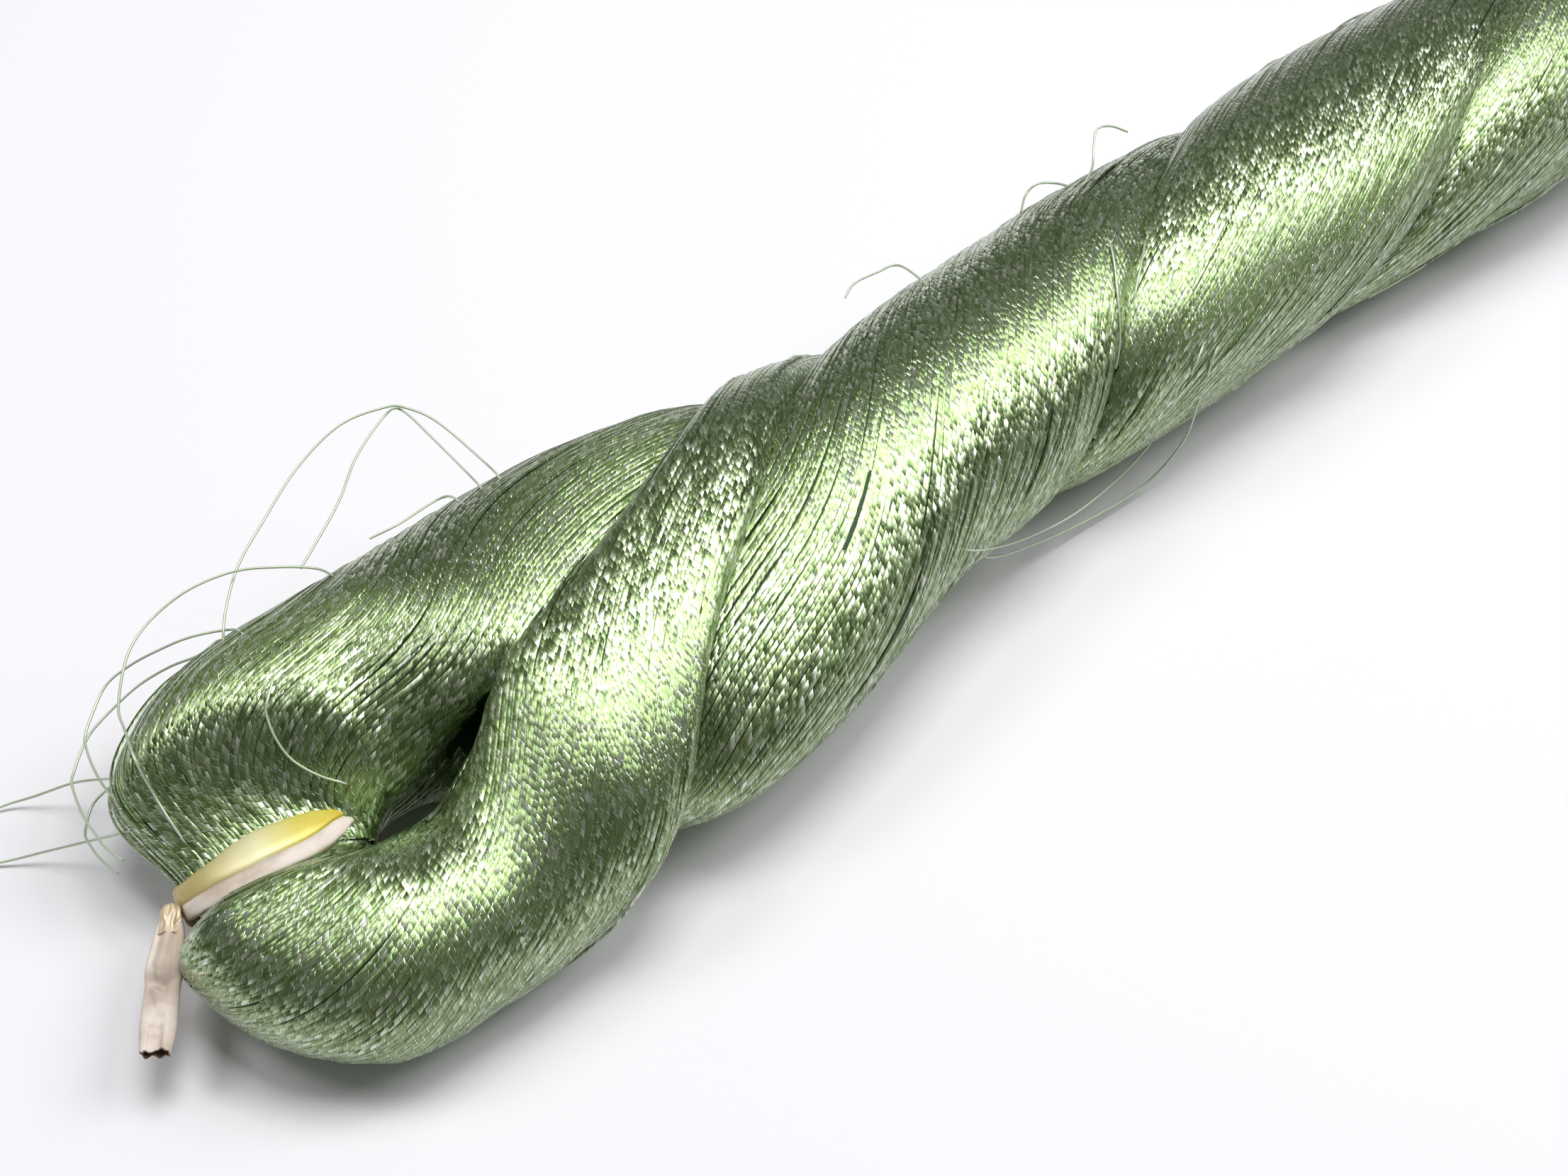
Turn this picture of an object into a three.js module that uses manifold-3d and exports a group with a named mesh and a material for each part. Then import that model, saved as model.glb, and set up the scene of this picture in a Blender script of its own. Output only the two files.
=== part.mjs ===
// A hank of foil-wound embroidery thread, twisted on itself into a two-strand rope and lying on a table,
// with a strip of gold film on paper tied round its near bight.
import * as THREE from 'three';
import { mergeVertices } from 'three/addons/utils/BufferGeometryUtils.js';
import Module from 'manifold-3d';

const wasm = await Module();
wasm.setup();

// Lengths are in mm and angles in degrees. The rope runs along X and the table is z = 0.
// An angle in a section is measured from +Y towards +Z. A plan angle is measured round an eye,
// from straight away from the rope, positive towards +Y.

const nearEye = { x: 16.7, y: -0.4 };
const farEye = { x: 207.6, y: 0 };
const fullTurn = 80;
const flatSpot = 0.35;
const legLength = 14.3;
const plainLeg = 1.5;

// The rope's outline: half its width and height, and how far its middle lies to +Y.
const outlineRows = [
  { x: 16.7, halfWidth: 15.7, halfHeight: 7.4, aside: 0.2 },
  { x: 28, halfWidth: 15.6, halfHeight: 7.9, aside: 0 },
  { x: 40, halfWidth: 15.2, halfHeight: 8.4, aside: 0.1 },
  { x: 48, halfWidth: 13.8, halfHeight: 8.8, aside: 0.1 },
  { x: 56, halfWidth: 12, halfHeight: 9.2, aside: 0 },
  { x: 62, halfWidth: 10.9, halfHeight: 9.5, aside: 0.1 },
  { x: 80, halfWidth: 10.6, halfHeight: 9.7, aside: 0.9 },
  { x: 110, halfWidth: 10.4, halfHeight: 9.6, aside: 0.9 },
  { x: 130, halfWidth: 10.4, halfHeight: 9.6, aside: 0 },
  { x: 190, halfWidth: 10.6, halfHeight: 9.4, aside: 0 },
  { x: 197, halfWidth: 12, halfHeight: 8.6, aside: 0 },
  { x: 207.6, halfWidth: 13.4, halfHeight: 7.4, aside: 0 },
];

// The grooves on either side of the first strand. Past the last row the twist is even.
const grooveRows = [
  { x: 16.7, trailing: 104, leading: 258 },
  { x: 22, trailing: 103, leading: 240 },
  { x: 27.7, trailing: 100, leading: 210 },
  { x: 36, trailing: 86, leading: 157 },
  { x: 44, trailing: 66, leading: 122.6 },
  { x: 50, trailing: 50, leading: 94 },
  { x: 55, trailing: 28, leading: 62 },
  { x: 60.4, trailing: -20, leading: 34 },
  { x: 66, trailing: -85, leading: 7.4 },
  { x: 72, trailing: -155, leading: -19.6 },
  { x: 80.4, trailing: -237.4, leading: -57.4 },
];

// The bights before they are tied: how far from the eye the threads lie, half their height and the height
// of their middle.
const nearBightRows = [
  { plan: -90, inner: 1.2, outer: 14.9, halfHeight: 5.9, middle: 5.7 },
  { plan: -60, inner: 1.4, outer: 15.5, halfHeight: 5.9, middle: 5.7 },
  { plan: -30, inner: 1.7, outer: 15.5, halfHeight: 5.6, middle: 5.5 },
  { plan: 14, inner: 1.9, outer: 14.7, halfHeight: 5.5, middle: 5.6 },
  { plan: 60, inner: 1.6, outer: 15.1, halfHeight: 6.1, middle: 6.2 },
  { plan: 90, inner: 1.2, outer: 16, halfHeight: 6.5, middle: 6.3 },
];
const farBightRows = [
  { plan: -90, inner: 0.9, outer: 14, halfHeight: 6, middle: 5.8 },
  { plan: -40, inner: 0.9, outer: 15, halfHeight: 6, middle: 5.8 },
  { plan: 10, inner: 0.9, outer: 15.4, halfHeight: 5.8, middle: 5.6 },
  { plan: 50, inner: 0.9, outer: 14.9, halfHeight: 5.9, middle: 5.7 },
  { plan: 90, inner: 0.9, outer: 13.9, halfHeight: 6.1, middle: 5.9 },
];

const strand = { squareness: 4, innerShare: 0.08, overlap: 3 };

// How finely the shapes are drawn: points round a section, sides of the bodies, and the degrees or mm
// from one section to the next.
const fine = {
  outline: 120, backs: [16, 20], bight: 28, bend: 7, leg: 2.4, rope: 3, strip: 40, knot: [16, 10],
};
// Where one body ends inside the next, drawn in a little.
const buried = { inRope: 3, inBight: 5, share: 0.95 };
const noseRows = [{ reach: 5.5, share: 0.2 }, { reach: 3, share: 0.6 }];
const aboveTable = { length: 300, width: 100, height: 60 };
const weld = 1e-5;

// The tie draws the threads in to a smaller section within its width, and less and less up to its ease.
const tie = {
  plan: 14, inner: 1.9, outer: 11.2, halfHeight: 3.15, middle: 4.75, within: 2.4, ease: 6,
  crown: 0.12, between: 0.3,
};
const knot = {
  length: 1.7, width: 1.9, height: 1.9, out: 0.6, across: 0.4, level: 5.8, folds: 3, foldDepth: 0.12,
};
// The tied strip by its distance from the eye: how wide its gold face and paper margin are, how thick it is
// and how far it stands off the threads.
const tieRows = [
  { reach: 1.9, gold: 0.6, margin: 0.4, thickness: 0.7, clearance: 0.55 },
  { reach: 3, gold: 1, margin: 0.7, thickness: 0.9, clearance: 0.58 },
  { reach: 5, gold: 1.9, margin: 1.1, thickness: 1, clearance: 0.58 },
  { reach: 7, gold: 2.5, margin: 1.3, thickness: 1, clearance: 0.43 },
  { reach: 9, gold: 2.5, margin: 1.3, thickness: 1, clearance: 0.43 },
  { reach: 11, gold: 2, margin: 1, thickness: 1, clearance: 0.36 },
];
const tail = { heading: 233.6, start: 0.3, sides: 10, squareness: 2.6 };
const tailRows = [
  { along: 0, width: 1.6, thickness: 1.1, turn: 0, lift: -0.2 },
  { along: 0.9, width: 2, thickness: 1.3, turn: 4, lift: -0.2 },
  { along: 3, width: 2.4, thickness: 1.2, turn: 12, lift: -0.1 },
  { along: 4.6, width: 2.1, thickness: 1, turn: 4, lift: -0.2 },
  { along: 6.6, width: 2.2, thickness: 1.2, turn: -8, lift: -0.3 },
  { along: 8.4, width: 1.8, thickness: 1.1, turn: -10, lift: -0.4 },
];

const { PI, abs, atan2, ceil, cos, max, min, sign, sin } = Math;
const rad = THREE.MathUtils.degToRad;

// The value of one column of a table at a place between its rows, smooth and without overshoot.
function read(rows, key, column, place) {
  const at = rows.map((row) => row[key]);
  const value = rows.map((row) => row[column]);
  const spans = at.slice(1).map((next, k) => next - at[k]);
  const slopes = spans.map((span, k) => (value[k + 1] - value[k]) / span);
  const tangents = at.map((_, k) => {
    if (k === 0) return slopes[0];
    if (k === at.length - 1) return slopes[k - 1];
    const [before, after] = [slopes[k - 1], slopes[k]];
    return before * after > 0 ? (2 * before * after) / (before + after) : 0;
  });
  const p = min(max(place, at[0]), at[at.length - 1]);
  let k = 0;
  while (k < spans.length - 1 && p > at[k + 1]) k += 1;
  const t = (p - at[k]) / spans[k];
  const ease = t * t * (3 - 2 * t);
  const bend = spans[k] * t * (1 - t);
  return value[k] + (value[k + 1] - value[k]) * ease + bend * ((1 - t) * tangents[k] - t * tangents[k + 1]);
}

// The rope's section at x.
function ropeAt(x) {
  const columns = ['halfWidth', 'halfHeight', 'aside'];
  const [halfWidth, halfHeight, aside] = columns.map((column) => read(outlineRows, 'x', column, x));
  const last = grooveRows[grooveRows.length - 1];
  const turned = max(x - last.x, 0) * (360 / fullTurn);
  const grooves = ['trailing', 'leading'].map((column) => read(grooveRows, 'x', column, x) - turned);
  // an angle seen from the middle, as the angle that draws the ellipse there
  const drawn = (angle) => {
    const a = rad(angle);
    const p = atan2(sin(a) / halfHeight, cos(a) / halfWidth);
    return a + THREE.MathUtils.euclideanModulo(p - a + PI, 2 * PI) - PI;
  };
  const [trailing, leading] = grooves.map(drawn);
  return {
    point: (angle, share) => new THREE.Vector3(
      x, aside + halfWidth * share * cos(angle), halfHeight - flatSpot + halfHeight * share * sin(angle),
    ),
    strands: [[trailing, leading], [leading, trailing + 2 * PI]],
  };
}

// How far out a strand's surface lies, as a share of the outline, from -1 at one groove to 1 at the other.
function swell(across, half) {
  const t = (across * half) / (half + rad(strand.overlap));
  const rise = (1 - abs(t) ** strand.squareness) ** (1 / strand.squareness);
  return (strand.innerShare + 1) / 2 + ((1 - strand.innerShare) / 2) * rise;
}

// The whole rope's outline at x, with both strands' backs and the two grooves between them.
function ropeSection(x) {
  const rope = ropeAt(x);
  return rope.strands.flatMap(([from, to], s) => {
    const [mid, half] = [(from + to) / 2, (to - from) / 2];
    const sides = fine.backs[s];
    return Array.from({ length: sides }, (_, k) => {
      const across = sin((PI / 2) * ((2 * k) / sides - 1));
      return rope.point(mid + half * across, swell(across, half));
    });
  });
}

// Points spaced evenly along a closed outline, from its first point on.
function evenlySpaced(outline, count) {
  const along = [0];
  outline.forEach((p, k) => along.push(along[k] + p.distanceTo(outline[(k + 1) % outline.length])));
  const total = along[outline.length];
  let k = 0;
  return Array.from({ length: count }, (_, n) => {
    const wanted = (total * n) / count;
    while (along[k + 1] < wanted) k += 1;
    const share = (wanted - along[k]) / (along[k + 1] - along[k]);
    return outline[k].clone().lerp(outline[(k + 1) % outline.length], share);
  });
}

// The angles round a section, from its innermost point on.
const around = Array.from({ length: fine.outline }, (_, k) => -PI / 2 + (2 * PI * k) / fine.outline);

// One strand's own section in the rope: a rounded wedge, from its innermost point round to its back.
function strandSection(x, index) {
  const rope = ropeAt(x);
  const [from, to] = rope.strands[index];
  const [mid, half] = [(from + to) / 2, (to - from) / 2 + rad(strand.overlap)];
  const power = strand.squareness;
  return evenlySpaced(around.map((e) => {
    const size = (abs(cos(e)) ** power + abs(sin(e)) ** power) ** (-1 / power);
    const share = strand.innerShare + ((1 - strand.innerShare) * (size * sin(e) + 1)) / 2;
    return rope.point(mid + half * size * cos(e), share);
  }), fine.bight);
}

function bightAt(rows, plan) {
  const columns = ['inner', 'outer', 'halfHeight', 'middle'];
  return Object.fromEntries(columns.map((column) => [column, read(rows, 'plan', column, plan)]));
}

// A section of a bight, in the upright plane at one plan angle round its eye.
function bightSection(bight, plan) {
  const { inner, outer, halfHeight, middle } = bightAt(bight.rows, plan);
  const a = rad(plan);
  return evenlySpaced(around.map((e) => {
    const reach = (inner + outer) / 2 + ((outer - inner) / 2) * sin(e);
    const x = bight.eye.x - bight.side * reach * cos(a);
    return drawnByTie(new THREE.Vector3(x, bight.eye.y + reach * sin(a), middle - halfHeight * cos(e)));
  }), fine.bight);
}

const tieOutward = new THREE.Vector3(-cos(rad(tie.plan)), sin(rad(tie.plan)), 0);
const tieSideways = new THREE.Vector3(sin(rad(tie.plan)), cos(rad(tie.plan)), 0);
const nearEyeFoot = new THREE.Vector3(nearEye.x, nearEye.y, 0);

// A point of the loose bight, moved to where the tie draws it.
function drawnByTie(point) {
  const loose = bightAt(nearBightRows, tie.plan);
  const fromEye = point.clone().sub(nearEyeFoot);
  const [reach, across] = [fromEye.dot(tieOutward), fromEye.dot(tieSideways)];
  const near = 1 - THREE.MathUtils.smoothstep(abs(across), tie.within, tie.ease);
  const pull = near * THREE.MathUtils.smoothstep(reach, 0, tie.inner);
  const narrowed = (tie.outer - tie.inner) / (loose.outer - loose.inner);
  const lowered = tie.halfHeight / loose.halfHeight;
  const closer = tie.inner + (reach - loose.inner) * narrowed - reach;
  const flatter = tie.middle + (point.z - loose.middle) * lowered - point.z;
  const lift = new THREE.Vector3(0, 0, pull * flatter);
  return point.clone().addScaledVector(tieOutward, pull * closer).add(lift);
}

// A leg between its bight and the rope: along is the distance from the eye.
function legSection(bight, half, along) {
  const x = bight.eye.x + bight.side * along;
  const plain = bightSection(bight, half * 90);
  const twisted = strandSection(x, half < 0 ? bight.low : 1 - bight.low);
  const share = THREE.MathUtils.smoothstep(along, plainLeg, legLength);
  return plain.map((p, k) => {
    const q = twisted[half < 0 ? k : (fine.bight - k) % fine.bight];
    return new THREE.Vector3(x, p.y + (q.y - p.y) * share, p.z + (q.z - p.z) * share);
  });
}

// A section's middle, near enough to its innermost point to see the whole of a bent section.
function middleOf(section) {
  return section[0].clone().lerp(section[section.length / 2], 1 / 3);
}

// A closed body through a row of sections with the same number of points each.
function loft(sections, ring = false) {
  const sides = sections[0].length;
  const points = sections.flat();
  const triangles = [];
  const spans = ring ? sections.length : sections.length - 1;
  for (let j = 0; j < spans; j += 1) {
    for (let k = 0; k < sides; k += 1) {
      const next = ((j + 1) % sections.length) * sides;
      const [a, b] = [j * sides + k, j * sides + ((k + 1) % sides)];
      const [c, d] = [next + ((k + 1) % sides), next + k];
      const short = points[a].distanceToSquared(points[c]) < points[b].distanceToSquared(points[d]);
      triangles.push(...(short ? [a, b, c, a, c, d] : [a, b, d, b, c, d]));
    }
  }
  if (!ring) {
    [sections[0], sections[sections.length - 1]].forEach((section, end) => {
      const centre = points.length;
      const first = end * (sections.length - 1) * sides;
      points.push(middleOf(section));
      for (let k = 0; k < sides; k += 1) {
        const [a, b] = [first + k, first + ((k + 1) % sides)];
        triangles.push(...(end ? [a, b, centre] : [b, a, centre]));
      }
    });
  }
  const geometry = new THREE.BufferGeometry().setFromPoints(points);
  geometry.setIndex(triangles);
  if (signedVolume(points, triangles) < 0) geometry.setIndex(triangles.reverse());
  return geometry;
}

function signedVolume(points, triangles) {
  let volume = 0;
  for (let t = 0; t < triangles.length; t += 3) {
    const [a, b, c] = [0, 1, 2].map((k) => points[triangles[t + k]]);
    volume += a.dot(b.clone().cross(c)) / 6;
  }
  return volume;
}

function solidOf(geometry) {
  const bare = geometry.clone();
  bare.deleteAttribute('normal');
  bare.deleteAttribute('uv');
  const merged = mergeVertices(bare, weld);
  return new wasm.Manifold(new wasm.Mesh({
    numProp: 3,
    vertProperties: new Float32Array(merged.attributes.position.array),
    triVerts: new Uint32Array(merged.index.array),
  }));
}

function geometryOf(solid) {
  const mesh = solid.getMesh();
  const geometry = new THREE.BufferGeometry();
  geometry.setAttribute('position', new THREE.BufferAttribute(new Float32Array(mesh.vertProperties), 3));
  geometry.setIndex(new THREE.BufferAttribute(new Uint32Array(mesh.triVerts), 1));
  return geometry;
}

// Places from one end to the other, at most a step apart.
function placed(from, to, step) {
  const count = ceil(abs(to - from) / step);
  return Array.from({ length: count + 1 }, (_, k) => from + ((to - from) * k) / count);
}

// A section drawn in towards its middle, for an end that is buried in the next body.
function drawnIn(section, share = buried.share, middle = middleOf(section)) {
  return section.map((p) => middle.clone().lerp(p, share));
}

// Half a bight with its leg, from the plane where the two halves meet into the rope.
function halfBight(bight, half) {
  const angles = placed(bight.meet, half * 90, fine.bend);
  const legs = placed(0, legLength, fine.leg).slice(1);
  return loft([
    drawnIn(bightSection(bight, bight.meet - half * buried.inBight)),
    ...angles.map((plan) => bightSection(bight, plan)),
    ...legs.map((along) => legSection(bight, half, along)),
    drawnIn(legSection(bight, half, legLength + buried.inRope)),
  ]);
}

const nearBight = { eye: nearEye, side: 1, rows: nearBightRows, low: 0, meet: tie.plan };
const farBight = { eye: farEye, side: -1, rows: farBightRows, low: 1, meet: 0 };

// The twisted rope, with a buried nose at each end that fills the middle between the two legs.
function ropeGeometry() {
  const [start, end] = [nearEye.x + legLength, farEye.x - legLength];
  const nose = (x, share) => drawnIn(ropeSection(x), share, ropeAt(x).point(0, 0));
  return loft([
    ...noseRows.map(({ reach, share }) => nose(start - reach, share)),
    ...placed(start, end, fine.rope).map((x) => ropeSection(x)),
    ...noseRows.toReversed().map(({ reach, share }) => nose(end + reach, share)),
  ]);
}

// The wound thread as one solid, flat where it rests on the table.
function hankGeometry() {
  const parts = [ropeGeometry()];
  [nearBight, farBight].forEach((bight) => {
    parts.push(halfBight(bight, -1), halfBight(bight, 1));
  });
  const wound = parts.map(solidOf).reduce((all, part) => all.add(part));
  const { length, width, height } = aboveTable;
  const box = new THREE.BoxGeometry(length, width, height).translate(farEye.x / 2, 0, height / 2);
  return geometryOf(wound.intersect(solidOf(box)));
}

const tieSize = (column, reach) => read(tieRows, 'reach', column, reach);

// A strip round the threads in the tie's plane, between two distances across it.
function stripGeometry(edges) {
  const [centre, halfReach] = [(tie.inner + tie.outer) / 2, (tie.outer - tie.inner) / 2];
  return loft(Array.from({ length: fine.strip }, (_, j) => {
    const e = (2 * PI * j) / fine.strip;
    const wrapped = centre + halfReach * sin(e);
    const back = tieSize('clearance', wrapped);
    const face = back + tieSize('thickness', wrapped);
    const [low, high] = edges(wrapped);
    const place = (off, across) => nearEyeFoot.clone()
      .addScaledVector(tieOutward, centre + (halfReach + off) * sin(e))
      .addScaledVector(tieSideways, across)
      .add(new THREE.Vector3(0, 0, tie.middle - (tie.halfHeight + off) * cos(e)));
    return [
      place(back, low), place(back, high),
      place(face, high), place(face + tie.crown, (low + high) / 2), place(face, low),
    ];
  }), true);
}

const goldEdges = (reach) => {
  const middle = (tieSize('margin', reach) + tie.between) / 2;
  return [middle - tieSize('gold', reach) / 2, middle + tieSize('gold', reach) / 2];
};
const marginEdges = (reach) => {
  const [goldLow] = goldEdges(reach);
  return [goldLow - tie.between - tieSize('margin', reach), goldLow - tie.between];
};

// The middle of the knot, just outside the strip.
function knotMiddle() {
  const face = tie.outer + tieSize('clearance', tie.outer) + tieSize('thickness', tie.outer);
  return nearEyeFoot.clone()
    .addScaledVector(tieOutward, face + knot.out)
    .addScaledVector(tieSideways, knot.across)
    .setZ(knot.level);
}

// A ball with folds that run along the tail's heading.
function knotGeometry() {
  const ball = new THREE.SphereGeometry(0.5, ...fine.knot);
  const positions = ball.attributes.position;
  for (let k = 0; k < positions.count; k += 1) {
    const p = new THREE.Vector3().fromBufferAttribute(positions, k);
    const fold = 1 + knot.foldDepth * sin(knot.folds * atan2(p.y, p.z)) * (1 - 4 * p.x * p.x);
    positions.setXYZ(k, p.x, p.y * fold, p.z * fold);
  }
  const at = knotMiddle();
  ball.scale(knot.length, knot.width, knot.height).rotateZ(rad(tail.heading));
  return ball.translate(at.x, at.y, at.z);
}

function bandGeometry() {
  return geometryOf(solidOf(stripGeometry(goldEdges)).add(solidOf(knotGeometry())));
}

// A sine or cosine bent so that it draws a rounded box instead of a circle.
function squared(value, squareness) {
  return sign(value) * abs(value) ** (2 / squareness);
}

// The strip's free end beyond the knot, a flattened paper tube.
function tailGeometry() {
  const heading = rad(tail.heading);
  const forward = new THREE.Vector3(cos(heading), sin(heading), 0);
  const sideways = new THREE.Vector3(-sin(heading), cos(heading), 0);
  const root = knotMiddle().addScaledVector(forward, knot.length / 2 + tail.start);
  return loft(tailRows.map((row) => Array.from({ length: tail.sides }, (_, k) => {
    const e = (2 * PI * k) / tail.sides;
    const w = (row.width / 2) * squared(cos(e), tail.squareness);
    const t = (row.thickness / 2) * squared(sin(e), tail.squareness);
    const turn = rad(row.turn);
    return root.clone()
      .addScaledVector(forward, row.along)
      .addScaledVector(sideways, w * cos(turn) - t * sin(turn))
      .add(new THREE.Vector3(0, 0, row.lift + w * sin(turn) + t * cos(turn)));
  })));
}

function part(name, geometry, look) {
  const mesh = new THREE.Mesh(geometry, new THREE.MeshStandardMaterial(look));
  mesh.name = name;
  return mesh;
}

const group = new THREE.Group();
group.add(
  part('hank', hankGeometry(), { color: 0x8aab76, roughness: 0.35, metalness: 0.6 }),
  part('tie_band', bandGeometry(), { color: 0xb8a040, roughness: 0.25, metalness: 0.5 }),
  part('tie_margin', stripGeometry(marginEdges), { color: 0xd9c8c0, roughness: 0.8, metalness: 0 }),
  part('tie_tail', tailGeometry(), { color: 0xd8ccc0, roughness: 0.8, metalness: 0 }),
);

// The origin is on the table, under the middle of the whole.
const middle = new THREE.Box3().setFromObject(group).getCenter(new THREE.Vector3());
group.position.set(-middle.x, -middle.y, 0);

export default group;
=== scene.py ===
from functools import partial

import bpy
import numpy as np
from mathutils import Matrix, Vector
from mathutils.bvhtree import BVHTree


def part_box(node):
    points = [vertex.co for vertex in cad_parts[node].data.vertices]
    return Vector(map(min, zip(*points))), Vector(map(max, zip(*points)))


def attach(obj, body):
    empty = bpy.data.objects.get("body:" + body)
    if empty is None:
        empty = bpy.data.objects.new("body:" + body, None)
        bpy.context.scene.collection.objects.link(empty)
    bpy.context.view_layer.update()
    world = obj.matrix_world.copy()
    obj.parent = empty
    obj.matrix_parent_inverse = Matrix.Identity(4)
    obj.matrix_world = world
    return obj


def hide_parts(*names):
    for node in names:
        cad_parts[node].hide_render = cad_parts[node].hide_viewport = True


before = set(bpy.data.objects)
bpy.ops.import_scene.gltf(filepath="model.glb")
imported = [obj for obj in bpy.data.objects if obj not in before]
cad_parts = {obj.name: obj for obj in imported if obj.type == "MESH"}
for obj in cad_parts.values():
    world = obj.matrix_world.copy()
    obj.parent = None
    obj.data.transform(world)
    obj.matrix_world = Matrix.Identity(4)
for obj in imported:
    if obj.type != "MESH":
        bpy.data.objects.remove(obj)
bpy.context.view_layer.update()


def table(columns, *rows):
    return [dict(zip(columns.split(), row)) for row in rows]


# The winding is worked out in millimetres, with X along the rope from the tied bight and the table at Z = 0.
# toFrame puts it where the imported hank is.
photo = {"width": 2212, "height": 1659}
view = {
    "turn": 40.3, "elevation": 50, "target": (50.0, -2.4, 7.0), "distance": 150.0,
    "lens": 50.04, "sensor": 36.0,
}
hank = {
    "nearEye": (19.5, -1.1), "farEye": (207.6, 0.0), "fullTurn": 80.0, "flatSpot": 0.35,
    "legLength": 10.6, "plainLeg": 1.5, "squareness": 4, "innerShare": 0.08, "overlap": 6.0,
}
# the whole rope's outline along it
outlineRows = table(
    "x halfWidth halfHeight aside",
    (16.7, 16.6, 7.8, 1.1),
    (28, 16.5, 8.3, 0.9),
    (40, 16, 8.7, 0.9),
    (48, 14.5, 9.1, 0.8),
    (56, 12.5, 9.4, 0.5),
    (62, 11.1, 9.6, 0.3),
    (80, 10.6, 9.7, 0.9),
    (110, 10.4, 9.6, 0.9),
    (130, 10.4, 9.6, 0),
    (190, 10.6, 9.4, 0),
    (197, 12, 8.6, 0),
    (207.6, 13.4, 7.4, 0),
)
# the two grooves between its strands, in degrees round it; past the last row they turn evenly
grooveRows = table(
    "x trailing leading",
    (16.7, 104, 258),
    (22, 103, 240),
    (27.7, 100, 210),
    (36, 86, 157),
    (44, 66, 122.6),
    (50, 50, 94),
    (55, 28, 62),
    (60.4, -20, 34),
    (66, -85, 7.4),
    (72, -155, -19.6),
    (80.4, -237.4, -57.4),
)
# a strand as it goes round a bight, by degrees round the eye: its reach from there, and its height
nearBightRows = table(
    "plan inner outer halfHeight middle",
    (-90, 1.2, 14.2, 5.9, 5.7),
    (-83, 1.2, 14.2, 5.9, 5.7),
    (-50, 1.4, 16.2, 5.9, 5.7),
    (-23.5, 1.7, 16.4, 5.6, 5.5),
    (14, 1.9, 16.6, 5.6, 5.7),
    (45, 1.6, 19.1, 6.4, 6.5),
    (68, 1.2, 19.0, 6.8, 6.7),
    (84, 1.2, 18.6, 6.9, 6.7),
    (90, 1.2, 18.6, 6.9, 6.7),
)
farBightRows = table(
    "plan inner outer halfHeight middle",
    (-90, 0.9, 14, 6, 5.8),
    (-40, 0.9, 15, 6, 5.8),
    (10, 0.9, 15.4, 5.8, 5.6),
    (50, 0.9, 14.9, 5.9, 5.7),
    (90, 0.9, 13.9, 6.1, 5.9),
)
tie = {
    "plan": 14, "inner": 1.9, "outer": 14.1, "halfHeight": 3.15, "middle": 4.75,
    "knotSide": (0.3, 4.2), "twistSide": (1.2, 11.5), "fades": (22, 78),
}
# the strip by its place round the threads in degrees, from under them over the outer side to the eye: its
# edges across the tie, and how high its face stands over the threads
tieRows = table(
    "turn paper seam gold face",
    (0, -1.2, 0.2, 2.4, 0.5),
    (60, 0.0, 1.0, 2.9, 0.6),
    (90, -0.1, 1.1, 2.9, 0.7),
    (100, -0.5, 0.7, 2.5, 0.7),
    (120, -0.95, 0.2, 2.0, 0.65),
    (140, -1.4, -0.2, 1.9, 0.6),
    (160, -1.5, -0.4, 2.3, 0.6),
    (180, -1.3, -0.2, 2.5, 0.6),
    (200, -1.0, 0.2, 2.5, 0.6),
    (220, 0.0, 1.2, 2.6, 0.55),
    (235, 1.1, 1.7, 2.8, 0.5),
    (270, 1.5, 1.9, 2.9, 0.4),
    (320, -0.8, 0.5, 2.6, 0.5),
    (360, -1.2, 0.2, 2.4, 0.5),
)
grid = {
    "sides": 160, "outline": 320, "plan": 2.0, "farPlan": 5.0, "leg": 1.2, "rope": 1.6,
    "blends": 6, "blendFrom": 5, "blendTo": (92, 100), "longestStep": 5,
}
# the turns of thread: how many lie side by side where the strand is widest, their size in mm, how they stray
# from an even lay, and where they sink out of sight
thread = {
    "count": 228, "pitch": 0.258, "radius": 0.18, "flatness": 0.6, "sides": 5, "foilPitch": 0.53, "seed": 7,
    "driftTurns": -2, "wander": 0.06, "wanderStep": 9.0, "bendScale": 0.2, "slower": 0.3, "slowOver": 30,
    "depth": 0.045, "sunk": 0.5, "hiddenShare": 0.74, "hiddenFrom": 0.4, "least": 0.08, "fading": 0.04,
    "evened": 3, "proud": 0.35, "proudFrom": 1.5, "proudStep": 14, "parts": {"Near": 85, "Middle": 140},
}
core = {"depth": 0.24, "eyeDepth": 0.7, "eyeReach": (4, 9), "eyeSide": 2, "lowest": 0.02, "every": (2, 4)}
goldenShare = 0.6180339887
# how fast the threads turn round their strand, in turns a mm, by the distance past the near eye; before it,
# bendScale mm stand for each degree of the bight
driftRows = table(
    "past lower upper",
    (-21, 0.024, 0.0),
    (-8, 0.024, 0.001),
    (-1.5, 0.018, 0.004),
    (5.2, 0.009, 0.005),
    (17.2, -0.001, 0.0),
    (33.2, -0.006, -0.005),
    (57.2, -0.0055, -0.0055),
)
# the threads of the near bight's lower side, which spread from the knot
fan = {
    "bend": 2.6, "power": 4, "extra": 1230, "step": 0.8, "crowding": 2.1, "steady": 45, "steps": 320,
    "last": 1.03, "shortest": 2, "fading": 0.05, "waverStep": 6,
}

farX = hank["farEye"][0]
nearX = hank["nearEye"][0]
bights = {
    "near": {"rows": nearBightRows, "eye": hank["nearEye"], "side": 1, "low": 0},
    "far": {"rows": farBightRows, "eye": hank["farEye"], "side": -1, "low": 1},
}
rng = np.random.default_rng(thread["seed"])


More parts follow.
